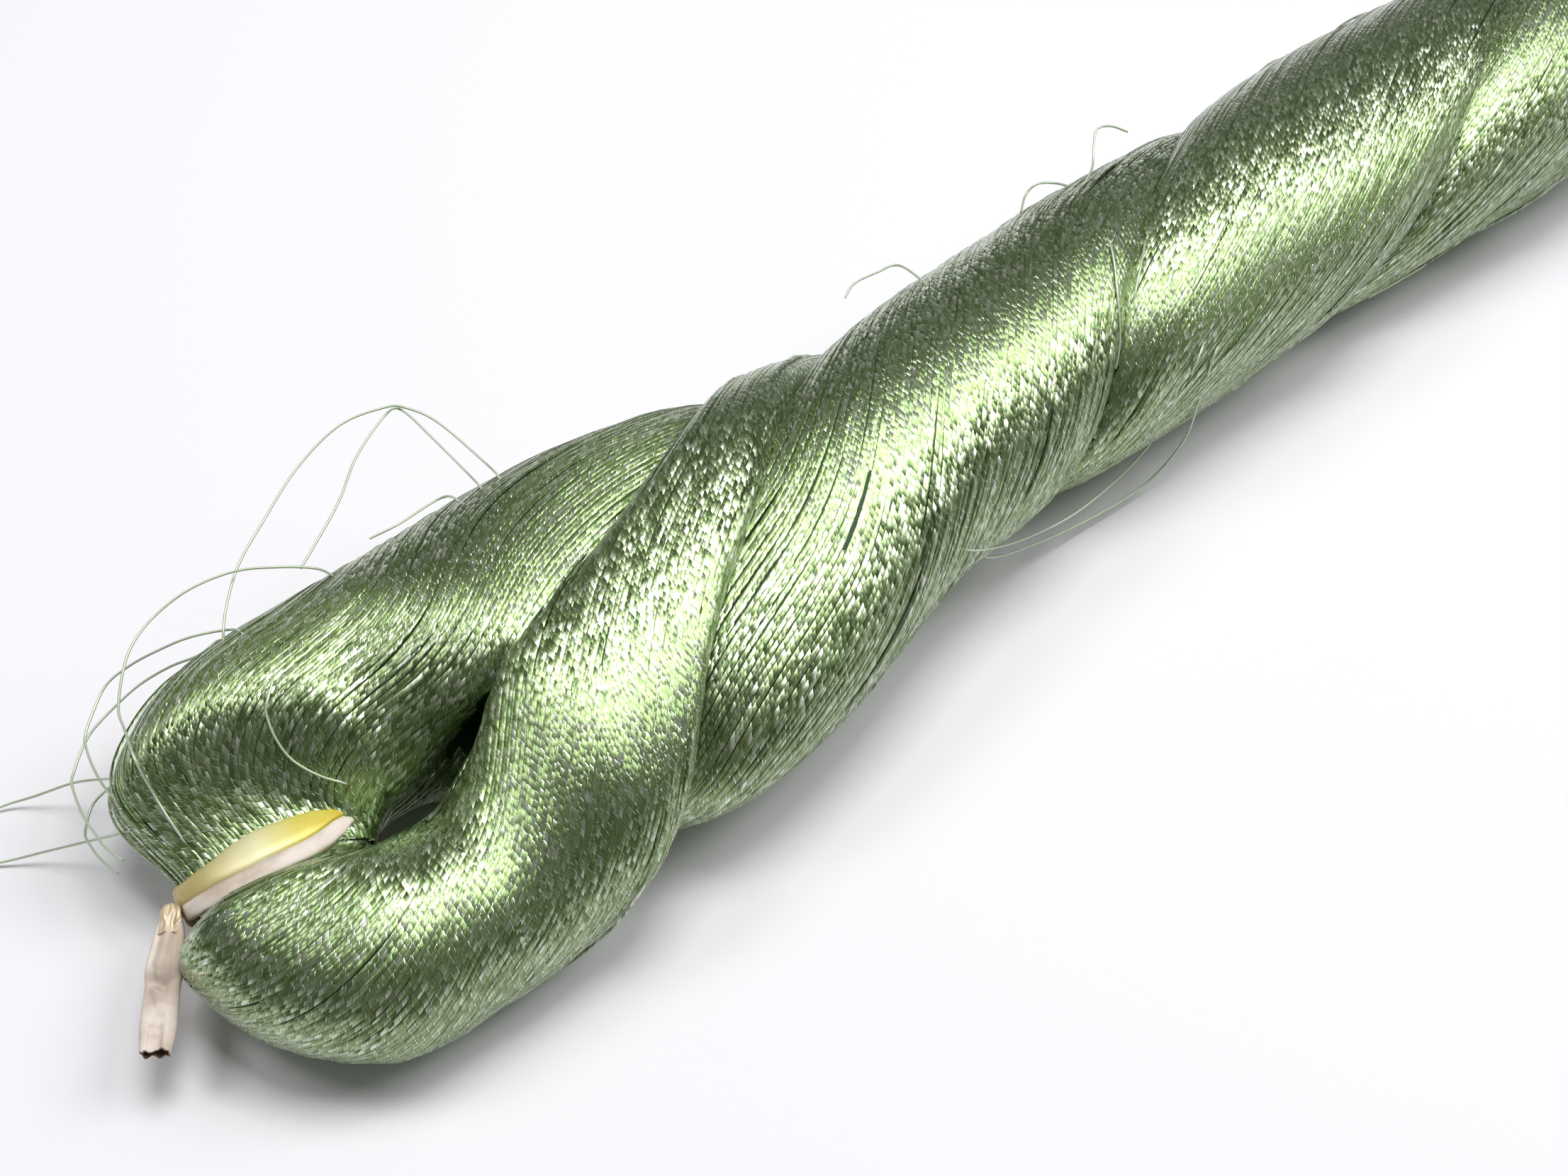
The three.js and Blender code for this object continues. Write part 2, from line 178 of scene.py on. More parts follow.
def readColumn(rows, key, column, place):
    # a table's column between its rows, smooth and without overshoot
    at = np.array([row[key] for row in rows], float)
    value = np.array([row[column] for row in rows], float)
    spans = np.diff(at)
    slopes = np.diff(value) / spans
    product = slopes[:-1] * slopes[1:]
    total = np.where(product > 0, slopes[:-1] + slopes[1:], 1)
    inner = np.where(product > 0, 2 * product / total, 0)
    tangents = np.concatenate([slopes[:1], inner, slopes[-1:]])
    p = np.clip(place, at[0], at[-1])
    k = np.clip(np.searchsorted(at, p) - 1, 0, len(spans) - 1)
    t = (p - at[k]) / spans[k]
    bend = spans[k] * t * (1 - t) * ((1 - t) * tangents[k] - t * tangents[k + 1])
    return value[k] + (value[k + 1] - value[k]) * t * t * (3 - 2 * t) + bend


def smooth(value, low, high):
    t = np.clip((value - low) / (high - low), 0, 1)
    return t * t * (3 - 2 * t)


def unit(vectors):
    return vectors / (np.linalg.norm(vectors, axis=-1, keepdims=True) + 1e-9)


def lengthAlong(points):
    return np.concatenate([[0], np.cumsum(np.linalg.norm(np.diff(points, axis=0), axis=1))])


def gridFaces(rings, sides, closedAlong=True):
    # the quads between rings of points, and from the last ring back to the first where they close
    j, k = np.meshgrid(np.arange(rings if closedAlong else rings - 1), np.arange(sides), indexing="ij")
    ring, nextRing, nextSide = j * sides, (j + 1) % rings * sides, (k + 1) % sides
    return np.stack([ring + k, ring + nextSide, nextRing + nextSide, nextRing + k], axis=2).reshape(-1, 4)


def endFaces(rings, sides):
    return np.array([np.arange(sides)[::-1], np.arange(sides) + (rings - 1) * sides])


around = -np.pi / 2 + 2 * np.pi * np.arange(grid["outline"]) / grid["outline"]


def evenlySpaced(outline):
    closed = np.vstack([outline, outline[:1]])
    along = lengthAlong(closed)
    wanted = np.linspace(0, along[-1], grid["sides"], endpoint=False)
    return np.stack([np.interp(wanted, along, closed[:, c]) for c in range(3)], axis=1)


def ropeAt(x):
    halfWidth, halfHeight, aside = (
        float(readColumn(outlineRows, "x", column, x)) for column in ("halfWidth", "halfHeight", "aside")
    )
    turned = max(x - grooveRows[-1]["x"], 0) * 360 / hank["fullTurn"]
    grooves = []
    for column in ("trailing", "leading"):
        a = np.radians(float(readColumn(grooveRows, "x", column, x)) - turned)
        p = np.arctan2(np.sin(a) / halfHeight, np.cos(a) / halfWidth)
        grooves.append(a + (p - a + np.pi) % (2 * np.pi) - np.pi)
    return halfWidth, halfHeight, aside, grooves


def strandSection(x, index):
    halfWidth, halfHeight, aside, (trailing, leading) = ropeAt(x)
    start, end = ((trailing, leading), (leading, trailing + 2 * np.pi))[index]
    mid, half = (start + end) / 2, (end - start) / 2 + np.radians(hank["overlap"])
    power = hank["squareness"]
    size = (np.abs(np.cos(around)) ** power + np.abs(np.sin(around)) ** power) ** (-1 / power)
    share = hank["innerShare"] + (1 - hank["innerShare"]) * (size * np.sin(around) + 1) / 2
    angle = mid + half * size * np.cos(around)
    y = aside + halfWidth * share * np.cos(angle)
    z = halfHeight - hank["flatSpot"] + halfHeight * share * np.sin(angle)
    return evenlySpaced(np.stack([np.full_like(y, x), y, z], axis=1))


tiePlan = np.radians(tie["plan"])
tieOutward = np.array([-np.cos(tiePlan), np.sin(tiePlan), 0])
tieSideways = np.array([np.sin(tiePlan), np.cos(tiePlan), 0])
nearFoot = np.array([*hank["nearEye"], 0])


def bightAt(rows, plan):
    return [readColumn(rows, "plan", column, plan) for column in ("inner", "outer", "halfHeight", "middle")]


def drawnByTie(points, plan):
    inner, outer, halfHeight, middle = bightAt(nearBightRows, tie["plan"])
    fromEye = points - nearFoot
    reach, across = fromEye @ tieOutward, fromEye @ tieSideways
    pull = 1 - np.where(across < 0, smooth(-across, *tie["knotSide"]), smooth(across, *tie["twistSide"]))
    pull = pull * smooth(reach, 0, tie["inner"]) * (1 - smooth(abs(plan - tie["plan"]), *tie["fades"]))
    narrowed = (tie["outer"] - tie["inner"]) / (outer - inner)
    closer = tie["inner"] + (reach - inner) * narrowed - reach
    flatter = tie["middle"] + (points[:, 2] - middle) * tie["halfHeight"] / halfHeight - points[:, 2]
    return points + (pull * closer)[:, None] * tieOutward + (pull * flatter)[:, None] * np.array([0, 0, 1])


def bightSection(end, plan):
    rows, eye, side = bights[end]["rows"], bights[end]["eye"], bights[end]["side"]
    inner, outer, halfHeight, middle = bightAt(rows, plan)
    a = np.radians(plan)
    reach = (inner + outer) / 2 + (outer - inner) / 2 * np.sin(around)
    x, y = eye[0] - side * reach * np.cos(a), eye[1] + reach * np.sin(a)
    points = np.stack([x, y, middle - halfHeight * np.cos(around)], axis=1)
    return evenlySpaced(drawnByTie(points, plan) if end == "near" else points)


def mirrored(section):
    return np.roll(section[::-1], 1, axis=0)


def legSection(end, half, along):
    low = bights[end]["low"]
    x = bights[end]["eye"][0] + bights[end]["side"] * along
    plain = bightSection(end, half * 90)
    twisted = strandSection(x, low if half < 0 else 1 - low)
    twisted = twisted if half < 0 else mirrored(twisted)
    share = smooth(along, hank["plainLeg"], hank["legLength"])
    section = plain + (twisted - plain) * share
    section[:, 0] = x
    return section


def spaced(start, end, step):
    return np.linspace(start, end, int(np.ceil(abs(end - start) / step)) + 1)[:-1]


def windingStations():
    # the closed way of the hank: far bight, first strand, near bight, second strand, far bight
    leg, start, end = hank["legLength"], nearX + hank["legLength"], farX - hank["legLength"]
    rows = []

    def add(place, values, section):
        rows.extend({"place": place, "value": value, "section": section(value)} for value in values)

    add("farBight", spaced(0, 90, grid["farPlan"]), lambda plan: mirrored(bightSection("far", plan)))
    add("farLeg", spaced(0, leg, grid["leg"]), lambda along: mirrored(legSection("far", 1, along)))
    add("firstStrand", spaced(end, start, grid["rope"]), lambda x: strandSection(x, 0))
    add("nearLeg", spaced(leg, 0, grid["leg"]), lambda along: legSection("near", -1, along))
    add("nearBight", spaced(-90, 90, grid["plan"]), lambda plan: bightSection("near", plan))
    add("nearLegBack", spaced(0, leg, grid["leg"]), lambda along: legSection("near", 1, along))
    add("secondStrand", spaced(start, end, grid["rope"]), lambda x: mirrored(strandSection(x, 1)))
    add("farLegBack", spaced(leg, 0, grid["leg"]), lambda along: mirrored(legSection("far", -1, along)))
    add("farBight", spaced(-90, 0, grid["farPlan"]), lambda plan: mirrored(bightSection("far", plan)))
    return rows


stations = windingStations()
places = np.array([row["place"] for row in stations])
values = np.array([row["value"] for row in stations])
surface = np.array([row["section"] for row in stations])


def blended(points):
    # the strands pass into the twist, and through its first turn, without a ridge
    x = points[..., 0].mean(axis=1)
    straight = ~np.isin(places, ("nearBight", "farBight"))
    share = straight * smooth(x, nearX, nearX + grid["blendFrom"]) * (1 - smooth(x, *grid["blendTo"]))
    before, after = np.abs(x - np.roll(x, 1)), np.abs(np.roll(x, -1) - x)
    weight = (after / (before + after + 1e-9))[:, None, None]
    for _ in range(grid["blends"]):
        neighbours = np.roll(points, 1, axis=0) * weight + np.roll(points, -1, axis=0) * (1 - weight)
        softer = (points + neighbours) / 2
        softer[..., 0] = points[..., 0]
        points = points + (softer - points) * share[:, None, None]
    return points


surface = blended(surface)


def outwardNormals(points):
    toNext = np.roll(points, -1, axis=0) - np.roll(points, 1, axis=0)
    toSide = np.roll(points, -1, axis=1) - np.roll(points, 1, axis=1)
    normals = unit(np.cross(toSide, toNext))
    fromMiddle = points - points.mean(axis=1, keepdims=True)
    return normals if (normals * fromMiddle).sum() > 0 else -normals


outward = outwardNormals(surface)
perimeter = np.linalg.norm(np.roll(surface, -1, axis=1) - surface, axis=2).sum(axis=1)
stepLength = np.linalg.norm(np.roll(surface, -1, axis=0) - surface, axis=2).mean(axis=1)
along = np.concatenate([[0], np.cumsum(stepLength)])
print("winding surface", surface.shape, "way", round(along[-1]), "mm")

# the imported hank's far end and sides fix where the winding lies in the frame
cadLow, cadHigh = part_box("hank")
origin = np.array([
    surface[..., 0].max() - cadHigh[0] * 1000,
    (surface[..., 1].max() + surface[..., 1].min()) / 2 - (cadHigh[1] + cadLow[1]) * 500,
    0,
])


def toFrame(points):
    return (np.asarray(points) - origin) / 1000


def depthShare():
    # how far out in the rope each surface point lies, and the share below which it is out of sight
    share, least = np.ones(surface.shape[:2]), np.full(len(stations), -1.0)
    for j, place in enumerate(places):
        if place in ("farBight", "nearBight"):
            continue
        halfWidth, halfHeight, aside, _ = ropeAt(surface[j, 0, 0])
        y, z = surface[j, :, 1] - aside, surface[j, :, 2] - halfHeight + hank["flatSpot"]
        share[j] = np.hypot(y / halfWidth, z / halfHeight)
        least[j] = thread["hiddenShare"]
        if "Leg" in place:
            least[j] *= smooth(values[j], hank["legLength"] * thread["hiddenFrom"], hank["legLength"])
    return share, least


share, leastShare = depthShare()


def atWay(worth, station, way):
    # what is worked out for the surface's points, at a station and a share of the way round between them
    count, sides = worth.shape[:2]
    j, k = np.floor(station).astype(int), np.floor(way * sides).astype(int)
    a, b = station - j, way * sides - k
    j0, j1, k0, k1 = j % count, (j + 1) % count, k % sides, (k + 1) % sides
    if worth.ndim == 3:
        a, b = a[..., None], b[..., None]
    here = worth[j0, k0] * (1 - b) + worth[j0, k1] * b
    there = worth[j1, k0] * (1 - b) + worth[j1, k1] * b
    return here * (1 - a) + there * a


def waver(count, places, length, step, closed=True):
    # a smooth random wavering along threads, one row each
    knots = max(int(round(length / step)), 2)
    random = rng.normal(size=(count, knots))
    random = np.hstack([random, random[:, :1]]) if closed else np.hstack([random, random[:, -1:]])
    at = np.clip(places / length, 0, 1) * knots
    k = np.clip(np.floor(at).astype(int), 0, knots - 1)
    t = at - k
    t = t * t * (3 - 2 * t)
    return random[:, k] * (1 - t) + random[:, k + 1] * t


def windingDrift():
    # how far the threads turn round their strand on the way, whole turns in all so that they close
    bight, far = places == "nearBight", np.char.startswith(places, "farLeg")
    lower = (places == "nearLeg") | (places == "firstStrand") | (bight & (values < tie["plan"]))
    past = np.where(bight, (np.abs(values) - 90) * thread["bendScale"], surface[:, 0, 0] - nearX)
    rate = np.where(lower, *(readColumn(driftRows, "past", side, past) for side in ("lower", "upper")))
    rate[np.char.startswith(places, "far")] = 0
    rate[bight] *= 1 - thread["slower"] * (1 - smooth(90 - np.abs(values[bight]), 0, thread["slowOver"]))
    toNext = np.abs(np.roll(past, -1) - past)
    toNext[toNext > grid["longestStep"]] = 0
    step = rate * toNext
    farStep = far * toNext
    step += farStep * (thread["driftTurns"] - step.sum()) / farStep.sum()
    return -np.concatenate([[0], np.cumsum(step)])


def closing(row):
    return np.concatenate([row, row[..., :1]], axis=-1)


drift = windingDrift()


def threadWays():
    # where each thread runs round the strand; one after another they sink out of sight where it is narrow
    count, fading, evened = thread["count"], thread["fading"], thread["evened"]
    rank = (np.arange(count) * goldenShare) % 1
    kept = np.clip(perimeter / thread["pitch"] / count, 0, 1)
    kept = np.mean([np.roll(kept, k) for k in range(-evened, evened + 1)], axis=0)
    weight = smooth(closing(kept)[None] - rank[:, None], -fading, fading)
    way = (np.cumsum(weight, axis=0) - weight / 2) / weight.sum(axis=0) + drift
    way += waver(count, along, along[-1], thread["wanderStep"]) * thread["wander"] / closing(perimeter)
    return way, weight


ways, weights = threadWays()
stationRow = np.arange(len(stations) + 1)
print("threads", ways.shape)


def threadRuns(path, way, weight, lift, turn, shown, bounds):
    # one thread cut into the stretches that show, each inside one piece
    normals = unit(atWay(outward, path, way))
    radius = np.full(len(path), thread["radius"])
    points = atWay(surface, path, way) + normals * (lift - radius - thread["sunk"] * (1 - weight))[:, None]
    points[:, 2] = np.maximum(points[:, 2], radius)
    length = lengthAlong(points)
    runs = []
    for first, last, piece in bounds:
        ok = shown[first:last]
        edges = np.flatnonzero(np.diff(np.concatenate([[0], ok.astype(int), [0]])))
        for a, b in zip(edges[::2] + first, edges[1::2] + first):
            if b - a > 2:
                runs.append({
                    "piece": piece, "points": points[a:b], "normals": normals[a:b],
                    "radius": radius[a:b], "length": length[a:b], "turn": turn,
                })
    return runs


def pieceOf(place, value):
    # the piece of the winding that a station belongs to
    if place.startswith("far"):
        return "farBightThreads"
    if place == "nearLeg" or (place == "nearBight" and value < tie["plan"]):
        return "nearBightLowerThreads"
    if place in ("nearLegBack", "nearBight"):
        return "nearBightUpperThreads"
    parts = [part for part, end in thread["parts"].items() if value < end]
    return place + (parts[0] if parts else "Far") + "Threads"


def pieceBounds():
    names = [pieceOf(place, value) for place, value in zip(places, values)]
    cuts = [0] + [j for j in range(1, len(names)) if names[j] != names[j - 1]] + [len(names)]
    return [(a, b + 1, names[a]) for a, b in zip(cuts, cuts[1:])]


fanSpan = tie["plan"] + 90
fanFirst = int(np.flatnonzero((places == "nearBight") & (values == -90))[0])
fanLast = int(np.flatnonzero((places == "nearBight") & (values == tie["plan"]))[0])


def fanShare(plan):
    # how much of its angle a thread of the fan keeps on its way to the knot
    return np.exp(-fan["bend"] * ((plan + 90) / fanSpan) ** fan["power"])


def windingRuns():
    bounds = pieceBounds()
    count = thread["count"]
    turns = rng.random(count)
    lift = waver(count, along, along[-1], thread["wanderStep"]) * thread["depth"]
    proud = waver(count, along, along[-1], thread["proudStep"])
    lift += np.clip(proud - thread["proudFrom"], 0, 1) * thread["proud"]
    shareAt = atWay(share, stationRow, ways)
    start = ways[:, fanFirst, None] % 1
    passed = start + drift - drift[fanFirst] < 0
    fanned = ((start > 0.5) | passed) & (stationRow > fanFirst) & (stationRow < fanLast)
    shown = (shareAt > closing(leastShare)) & (weights > thread["least"]) & ~fanned
    runs = []
    for i in range(count):
        runs += threadRuns(stationRow.astype(float), ways[i], weights[i], lift[i], turns[i], shown[i], bounds)
    return runs


def fanWays(starts, station, plan, keep):
    # the fan's threads round the strand: each leaves in the leg's direction and is drawn to the knot
    turnedSlope = np.gradient(np.interp(station, stationRow, drift), station)
    drawing = np.gradient(np.log(keep), station)
    steady = smooth(plan + 90, 0, fan["steady"])
    rows = [starts]
    for k in range(len(station) - 1):
        way = rows[-1]
        here, there = (atWay(surface, np.full_like(way, at), way) for at in (station[k], station[k] + 1))
        stride = np.linalg.norm(there - here, axis=1)
        middle = stepLength[int(station[k])]
        turning = turnedSlope[k] * (steady[k] + (1 - steady[k]) * stride / middle)
        rows.append(way + (turning + np.maximum(way - 0.5, 0) * drawing[k]) * (station[k + 1] - station[k]))
    return np.array(rows).T


def fanRuns():
    # the threads that come out from under the knot and spread over the lower side of the near bight
    spacing = 1 / weights[:, fanFirst].sum()
    atLeg = ways[:, fanFirst] % 1
    starts = atLeg[(atLeg > 0.5) & (weights[:, fanFirst] > 0.5)]
    starts = np.sort(np.concatenate([starts, 1 + spacing * (np.arange(fan["extra"]) + 0.5)]))
    station = np.linspace(fanFirst, fanLast, fan["steps"])
    plan = -90 + (station - fanFirst) * grid["plan"]
    keep = fanShare(plan)
    outline = np.interp(station, stationRow[:-1], perimeter)
    bounds = [(0, None, "nearBightFanThreads")]
    runs = []
    for i, way in enumerate(fanWays(starts, station, plan, keep)):
        ok = way < fan["last"]
        if ok.sum() < 4:
            continue
        points = atWay(surface, station[ok], way[ok])
        length = lengthAlong(points)
        if length[-1] < fan["shortest"]:
            continue
        reach = np.linalg.norm(points[:, :2] - nearFoot[:2], axis=1)
        drawn = np.where(way > 0.5, keep, 1)[ok]
        turning = np.gradient(way, plan)[ok]
        slope = np.hypot(1 / (drawn * outline[ok]), turning / drawn / np.radians(reach))
        room = spacing / slope / thread["pitch"]
        weight = smooth(room * fan["crowding"] - i * goldenShare % 1, -fan["fading"], fan["fading"])
        even = np.linspace(0, length[-1], int(length[-1] / fan["step"]) + 2)
        at, round_, weight = (np.interp(even, length, column) for column in (station[ok], way[ok], weight))
        lift = waver(1, even, length[-1], fan["waverStep"], False)[0] * thread["depth"]
        runs += threadRuns(at, round_, weight, lift, rng.random(), weight > thread["least"], bounds)
    return runs


def newMesh(name, vertices, faces):
    # faces: arrays of vertex numbers; quads are smooth, and the ends' many-sided faces flat with sharp edges
    mesh = bpy.data.meshes.new(name)
    mesh.from_pydata(toFrame(vertices).tolist(), [], [face for rows in faces for face in rows.tolist()])
    mesh.polygons.foreach_set("use_smooth", [rows.shape[1] == 4 for rows in faces for _ in rows])
    ends = [rows for rows in faces if rows.shape[1] != 4]
    if ends:
        rims = [np.stack([rows, np.roll(rows, -1, axis=1)], axis=2).reshape(-1, 2) for rows in ends]
        edges = np.empty(len(mesh.edges) * 2, np.int32)
        mesh.edges.foreach_get("vertices", edges)
        keys = [
            np.sort(pairs, axis=1).astype(np.int64) @ (len(mesh.vertices), 1)
            for pairs in (edges.reshape(-1, 2), np.concatenate(rims))
        ]
        sharp = mesh.attributes.new("sharp_edge", "BOOLEAN", "EDGE")
        sharp.data.foreach_set("value", np.isin(*keys))
    return mesh


def keepAtPoints(mesh, name, kind, field, numbers):
    made = mesh.attributes.new(name, kind, "POINT")
    made.data.foreach_set(field, np.asarray(numbers, np.float32).ravel())


def tubePiece(name, runs, sides=thread["sides"], flatness=thread["flatness"]):
    angle = 2 * np.pi * (np.arange(sides) + 0.5) / sides
    rise, reach = np.cos(angle)[None, :, None] * flatness, np.sin(angle)[None, :, None]
    v = np.arange(sides + 1) / sides
    vertices, quads, caps, quadUvs, capUvs, turns, faced = [], [], [], [], [], [], []
    base = 0
    for run in runs:
        points, rings = run["points"], len(run["points"])
        tangent = unit(np.gradient(points, axis=0, edge_order=2))
        up = unit(run["normals"] - (run["normals"] * tangent).sum(axis=1, keepdims=True) * tangent)
        ring = up[:, None] * rise + np.cross(tangent, up)[:, None] * reach
        vertices.append((points[:, None] + ring * run["radius"][:, None, None]).reshape(-1, 3))
        quads.append(base + gridFaces(rings, sides, False))
        caps.append(base + endFaces(rings, sides))
        u = run["length"] / thread["foilPitch"]
        j, k = np.meshgrid(np.arange(rings - 1), np.arange(sides), indexing="ij")
        corners = [np.stack([u[j + dj], v[k + dk]], axis=2) for dj, dk in ((0, 0), (0, 1), (1, 1), (1, 0))]
        quadUvs.append(np.stack(corners, axis=2).reshape(-1, 2))
        capUvs.append(np.repeat([[u[0], 0.5], [u[-1], 0.5]], sides, axis=0))
        turns.append(np.full(rings * sides, run["turn"]))
        faced.append(np.repeat(up, sides, axis=0))
        base += rings * sides
    mesh = newMesh(name, np.concatenate(vertices), [np.concatenate(quads), np.concatenate(caps)])
    layer = mesh.uv_layers.new(name="winding")
    layer.data.foreach_set("uv", np.concatenate(quadUvs + capUvs).astype(np.float32).ravel())
    keepAtPoints(mesh, "turn", "FLOAT", "value", np.concatenate(turns))
    keepAtPoints(mesh, "facing", "FLOAT_VECTOR", "vector", np.concatenate(faced))
    return mesh


def addPiece(name, mesh, material, slotName, *nodes):
    piece = bpy.data.objects.new(name, mesh)
    bpy.context.scene.collection.objects.link(piece)
    mesh.materials.append(material)
    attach(piece, "root")
    if nodes:
        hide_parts(*nodes)
    triangles = sum(len(polygon.vertices) - 2 for polygon in mesh.polygons)
    print("piece", name, triangles, "triangles")
    return piece


def linear(hexColour):
    channels = [int(hexColour[k:k + 2], 16) / 255 for k in (1, 3, 5)]
    return tuple([c / 12.92 if c <= 0.04045 else ((c + 0.055) / 1.055) ** 2.4 for c in channels] + [1.0])


def setInputs(tree, node, inputs):
    for key, value in inputs.items():
        if isinstance(value, bpy.types.NodeSocket):
            tree.links.new(value, node.inputs[key])
        else:
            node.inputs[key].default_value = value


def addNode(tree, kind, inputs=None, shades=(), **settings):
    # a node with its settings, its inputs set or linked and its ramp filled; gives back its outputs
    made = tree.nodes.new("ShaderNode" + kind)
    for key, value in settings.items():
        setattr(made, key, value)
    for number, (position, shade) in enumerate(shades):
        elements = made.color_ramp.elements
        element = elements[number] if number < 2 else elements.new(position)
        element.position, element.color = position, linear(shade)
    setInputs(tree, made, inputs or {})
    return made.outputs


def newMaterial(name, sockets):
    material = bpy.data.materials.new(name)
    material.use_nodes = True
    tree = material.node_tree
    shader = tree.nodes["Principled BSDF"]
    setInputs(tree, shader, sockets)
    return material, tree, shader


# silver foil dyed green and wound on a thread core: each turn of foil is a small facet of its own brightness,
# leaning a little its own way, with a painted glint on its edge and a painted shade line beside that, and
# lacquer makes it sparkle
foil = {
    "shades": [(0.0, "#4E6C2B"), (0.4, "#789656"), (0.85, "#ABC092"), (1.0, "#E9EFDE")],
    # the bright colour at each turn's edge is a painted glint, and the dark line colour beside it is painted
    # shade
    "tint": "#93A05C", "tintShare": 0.3, "edge": 0.12, "paintedGlintColour": "#F6FBF0", "paintedGlintRate": 0.35,
    "line": 0.09, "paintedShadeLineColour": "#47662F", "flat": 0.7, "hand": 1.7, "threadKey": 977.0,
    "lean": 0.24, "roll": 0.3, "bulge": 0.18,
    "sockets": {
        "Metallic": 0.85, "Roughness": 0.32, "Anisotropic": 0.8,
        "Coat Weight": 1.0, "Coat Roughness": 0.26, "Coat IOR": 1.6,
    },
}


def foilThreadMaterial():
    material, tree, shader = newMaterial("foilWoundThread", foil["sockets"])
    add = partial(addNode, tree)

    # which turn of foil a point is on, how far across it, and three chances of that turn
    uv = add("UVMap", uv_map="winding")["UV"]
    place = add("SeparateXYZ", {0: uv})
    turn = add("Attribute", attribute_name="turn")["Fac"]
    slant = add("Math", {0: place["Y"], 1: foil["hand"]}, operation="MULTIPLY")[0]
    winding = add("Math", {0: place["X"], 1: slant}, operation="ADD")[0]
    cell = add("Math", {0: winding}, operation="FLOOR")[0]
    inside = add("Math", {0: winding}, operation="FRACT")[0]
    threadKey = add("Math", {0: turn, 1: foil["threadKey"]}, operation="MULTIPLY")[0]
    key = add("CombineXYZ", {"X": cell, "Y": threadKey})[0]
    random = add("TexWhiteNoise", {"Vector": key}, noise_dimensions="2D")
    chance = add("SeparateXYZ", {0: random["Color"]})
    ofThread = add("TexWhiteNoise", {"W": turn}, noise_dimensions="1D")["Value"]

    # the turn is nearly flat across the thread, bulges along it, and leans and rolls by chance
    facing = add("Attribute", attribute_name="facing")["Vector"]
    rounded = add("NewGeometry")["Normal"]
    flatPart = add("VectorMath", {0: facing, "Scale": foil["flat"]}, operation="SCALE")[0]
    roundPart = add("VectorMath", {0: rounded, "Scale": 1 - foil["flat"]}, operation="SCALE")[0]
    blend = add("VectorMath", {0: roundPart, 1: flatPart}, operation="ADD")[0]
    normal = add("VectorMath", {0: blend}, operation="NORMALIZE")[0]
    tangent = add("Tangent", direction_type="UV_MAP", uv_map="winding")[0]
    across = add("VectorMath", {0: normal, 1: tangent}, operation="CROSS_PRODUCT")[0]
    lean, roll, bulge = (
        add("Math", {0: part, 1: reach, 2: -reach / 2}, operation="MULTIPLY_ADD")[0]
        for part, reach in ((chance["X"], foil["lean"]), (chance["Y"], foil["roll"]), (inside, foil["bulge"]))
    )
    ahead = add("Math", {0: lean, 1: bulge}, operation="ADD")[0]
    leaning = add("VectorMath", {0: tangent, "Scale": ahead}, operation="SCALE")[0]
    rolling = add("VectorMath", {0: across, "Scale": roll}, operation="SCALE")[0]
    leaned = add("VectorMath", {0: normal, 1: leaning}, operation="ADD")[0]
    rolled = add("VectorMath", {0: leaned, 1: rolling}, operation="ADD")[0]
    tilted = add("VectorMath", {0: rolled}, operation="NORMALIZE")[0]

    # its colour: a shade by chance, tinted by the thread, with the painted shade line and the painted glint
    # on the edge
    shade = add("ValToRGB", {"Fac": random["Value"]}, foil["shades"])["Color"]
    tintShare = add("Math", {0: ofThread, 1: foil["tintShare"]}, operation="MULTIPLY")[0]
    tinted = add("MixRGB", {"Fac": tintShare, "Color1": shade, "Color2": linear(foil["tint"])})[0]
    fromLine = add("Math", {0: inside, 1: foil["edge"] + foil["line"] / 2}, operation="SUBTRACT")[0]
    off = add("Math", {0: fromLine}, operation="ABSOLUTE")[0]
    isPaintedShadeLine = add("Math", {0: off, 1: foil["line"] / 2}, operation="LESS_THAN")[0]
    withShadeLine = add("MixRGB", {"Fac": isPaintedShadeLine, "Color1": tinted, "Color2": linear(foil["paintedShadeLineColour"])})[0]
    isEdge = add("Math", {0: inside, 1: foil["edge"]}, operation="LESS_THAN")[0]
    isOpen = add("Math", {0: chance["Z"], 1: 1 - foil["paintedGlintRate"]}, operation="GREATER_THAN")[0]
    isPaintedGlint = add("Math", {0: isEdge, 1: isOpen}, operation="MULTIPLY")[0]
    coloured = add("MixRGB", {"Fac": isPaintedGlint, "Color1": withShadeLine, "Color2": linear(foil["paintedGlintColour"])})[0]
    sockets = {"Base Color": coloured, "Normal": tilted, "Coat Normal": tilted, "Tangent": across}
    setInputs(tree, shader, sockets)
    return material


def paintedShadeThreadMaterial():
    # the same thread deep between the turns, coloured dark green as painted shade, since little light comes
    # there
    sockets = {"Base Color": linear("#2F4A1E"), "Metallic": 0.2, "Roughness": 0.6}
    return newMaterial("threadInShade", sockets)[0]


def corePiece():
    # the turns below the outer ones, as one body in the dark painted-shade colour, deeper where the threads
    # part at the near eye
    nearEye = np.linalg.norm(surface[..., :2] - nearFoot[:2], axis=2)
    byEye = (1 - smooth(nearEye, *core["eyeReach"])) * (surface[..., 0] < nearX + core["eyeSide"])
    deep = core["depth"] + core["eyeDepth"] * byEye
    everyStation, everySide = core["every"]
    points = (surface - outward * deep[..., None])[::everyStation, ::everySide]
    points[..., 2] = np.maximum(points[..., 2], core["lowest"])
    return newMesh("windingCore", points.reshape(-1, 3), [gridFaces(*points.shape[:2])])


foilThread = foilThreadMaterial()
addPiece("windingCore", corePiece(), paintedShadeThreadMaterial(), "foil_thread", "hank")
allRuns = windingRuns() + fanRuns()
for name in dict.fromkeys(run["piece"] for run in allRuns):
    mesh = tubePiece(name, [run for run in allRuns if run["piece"] == name])
    addPiece(name, mesh, foilThread, "foil_thread", "hank")

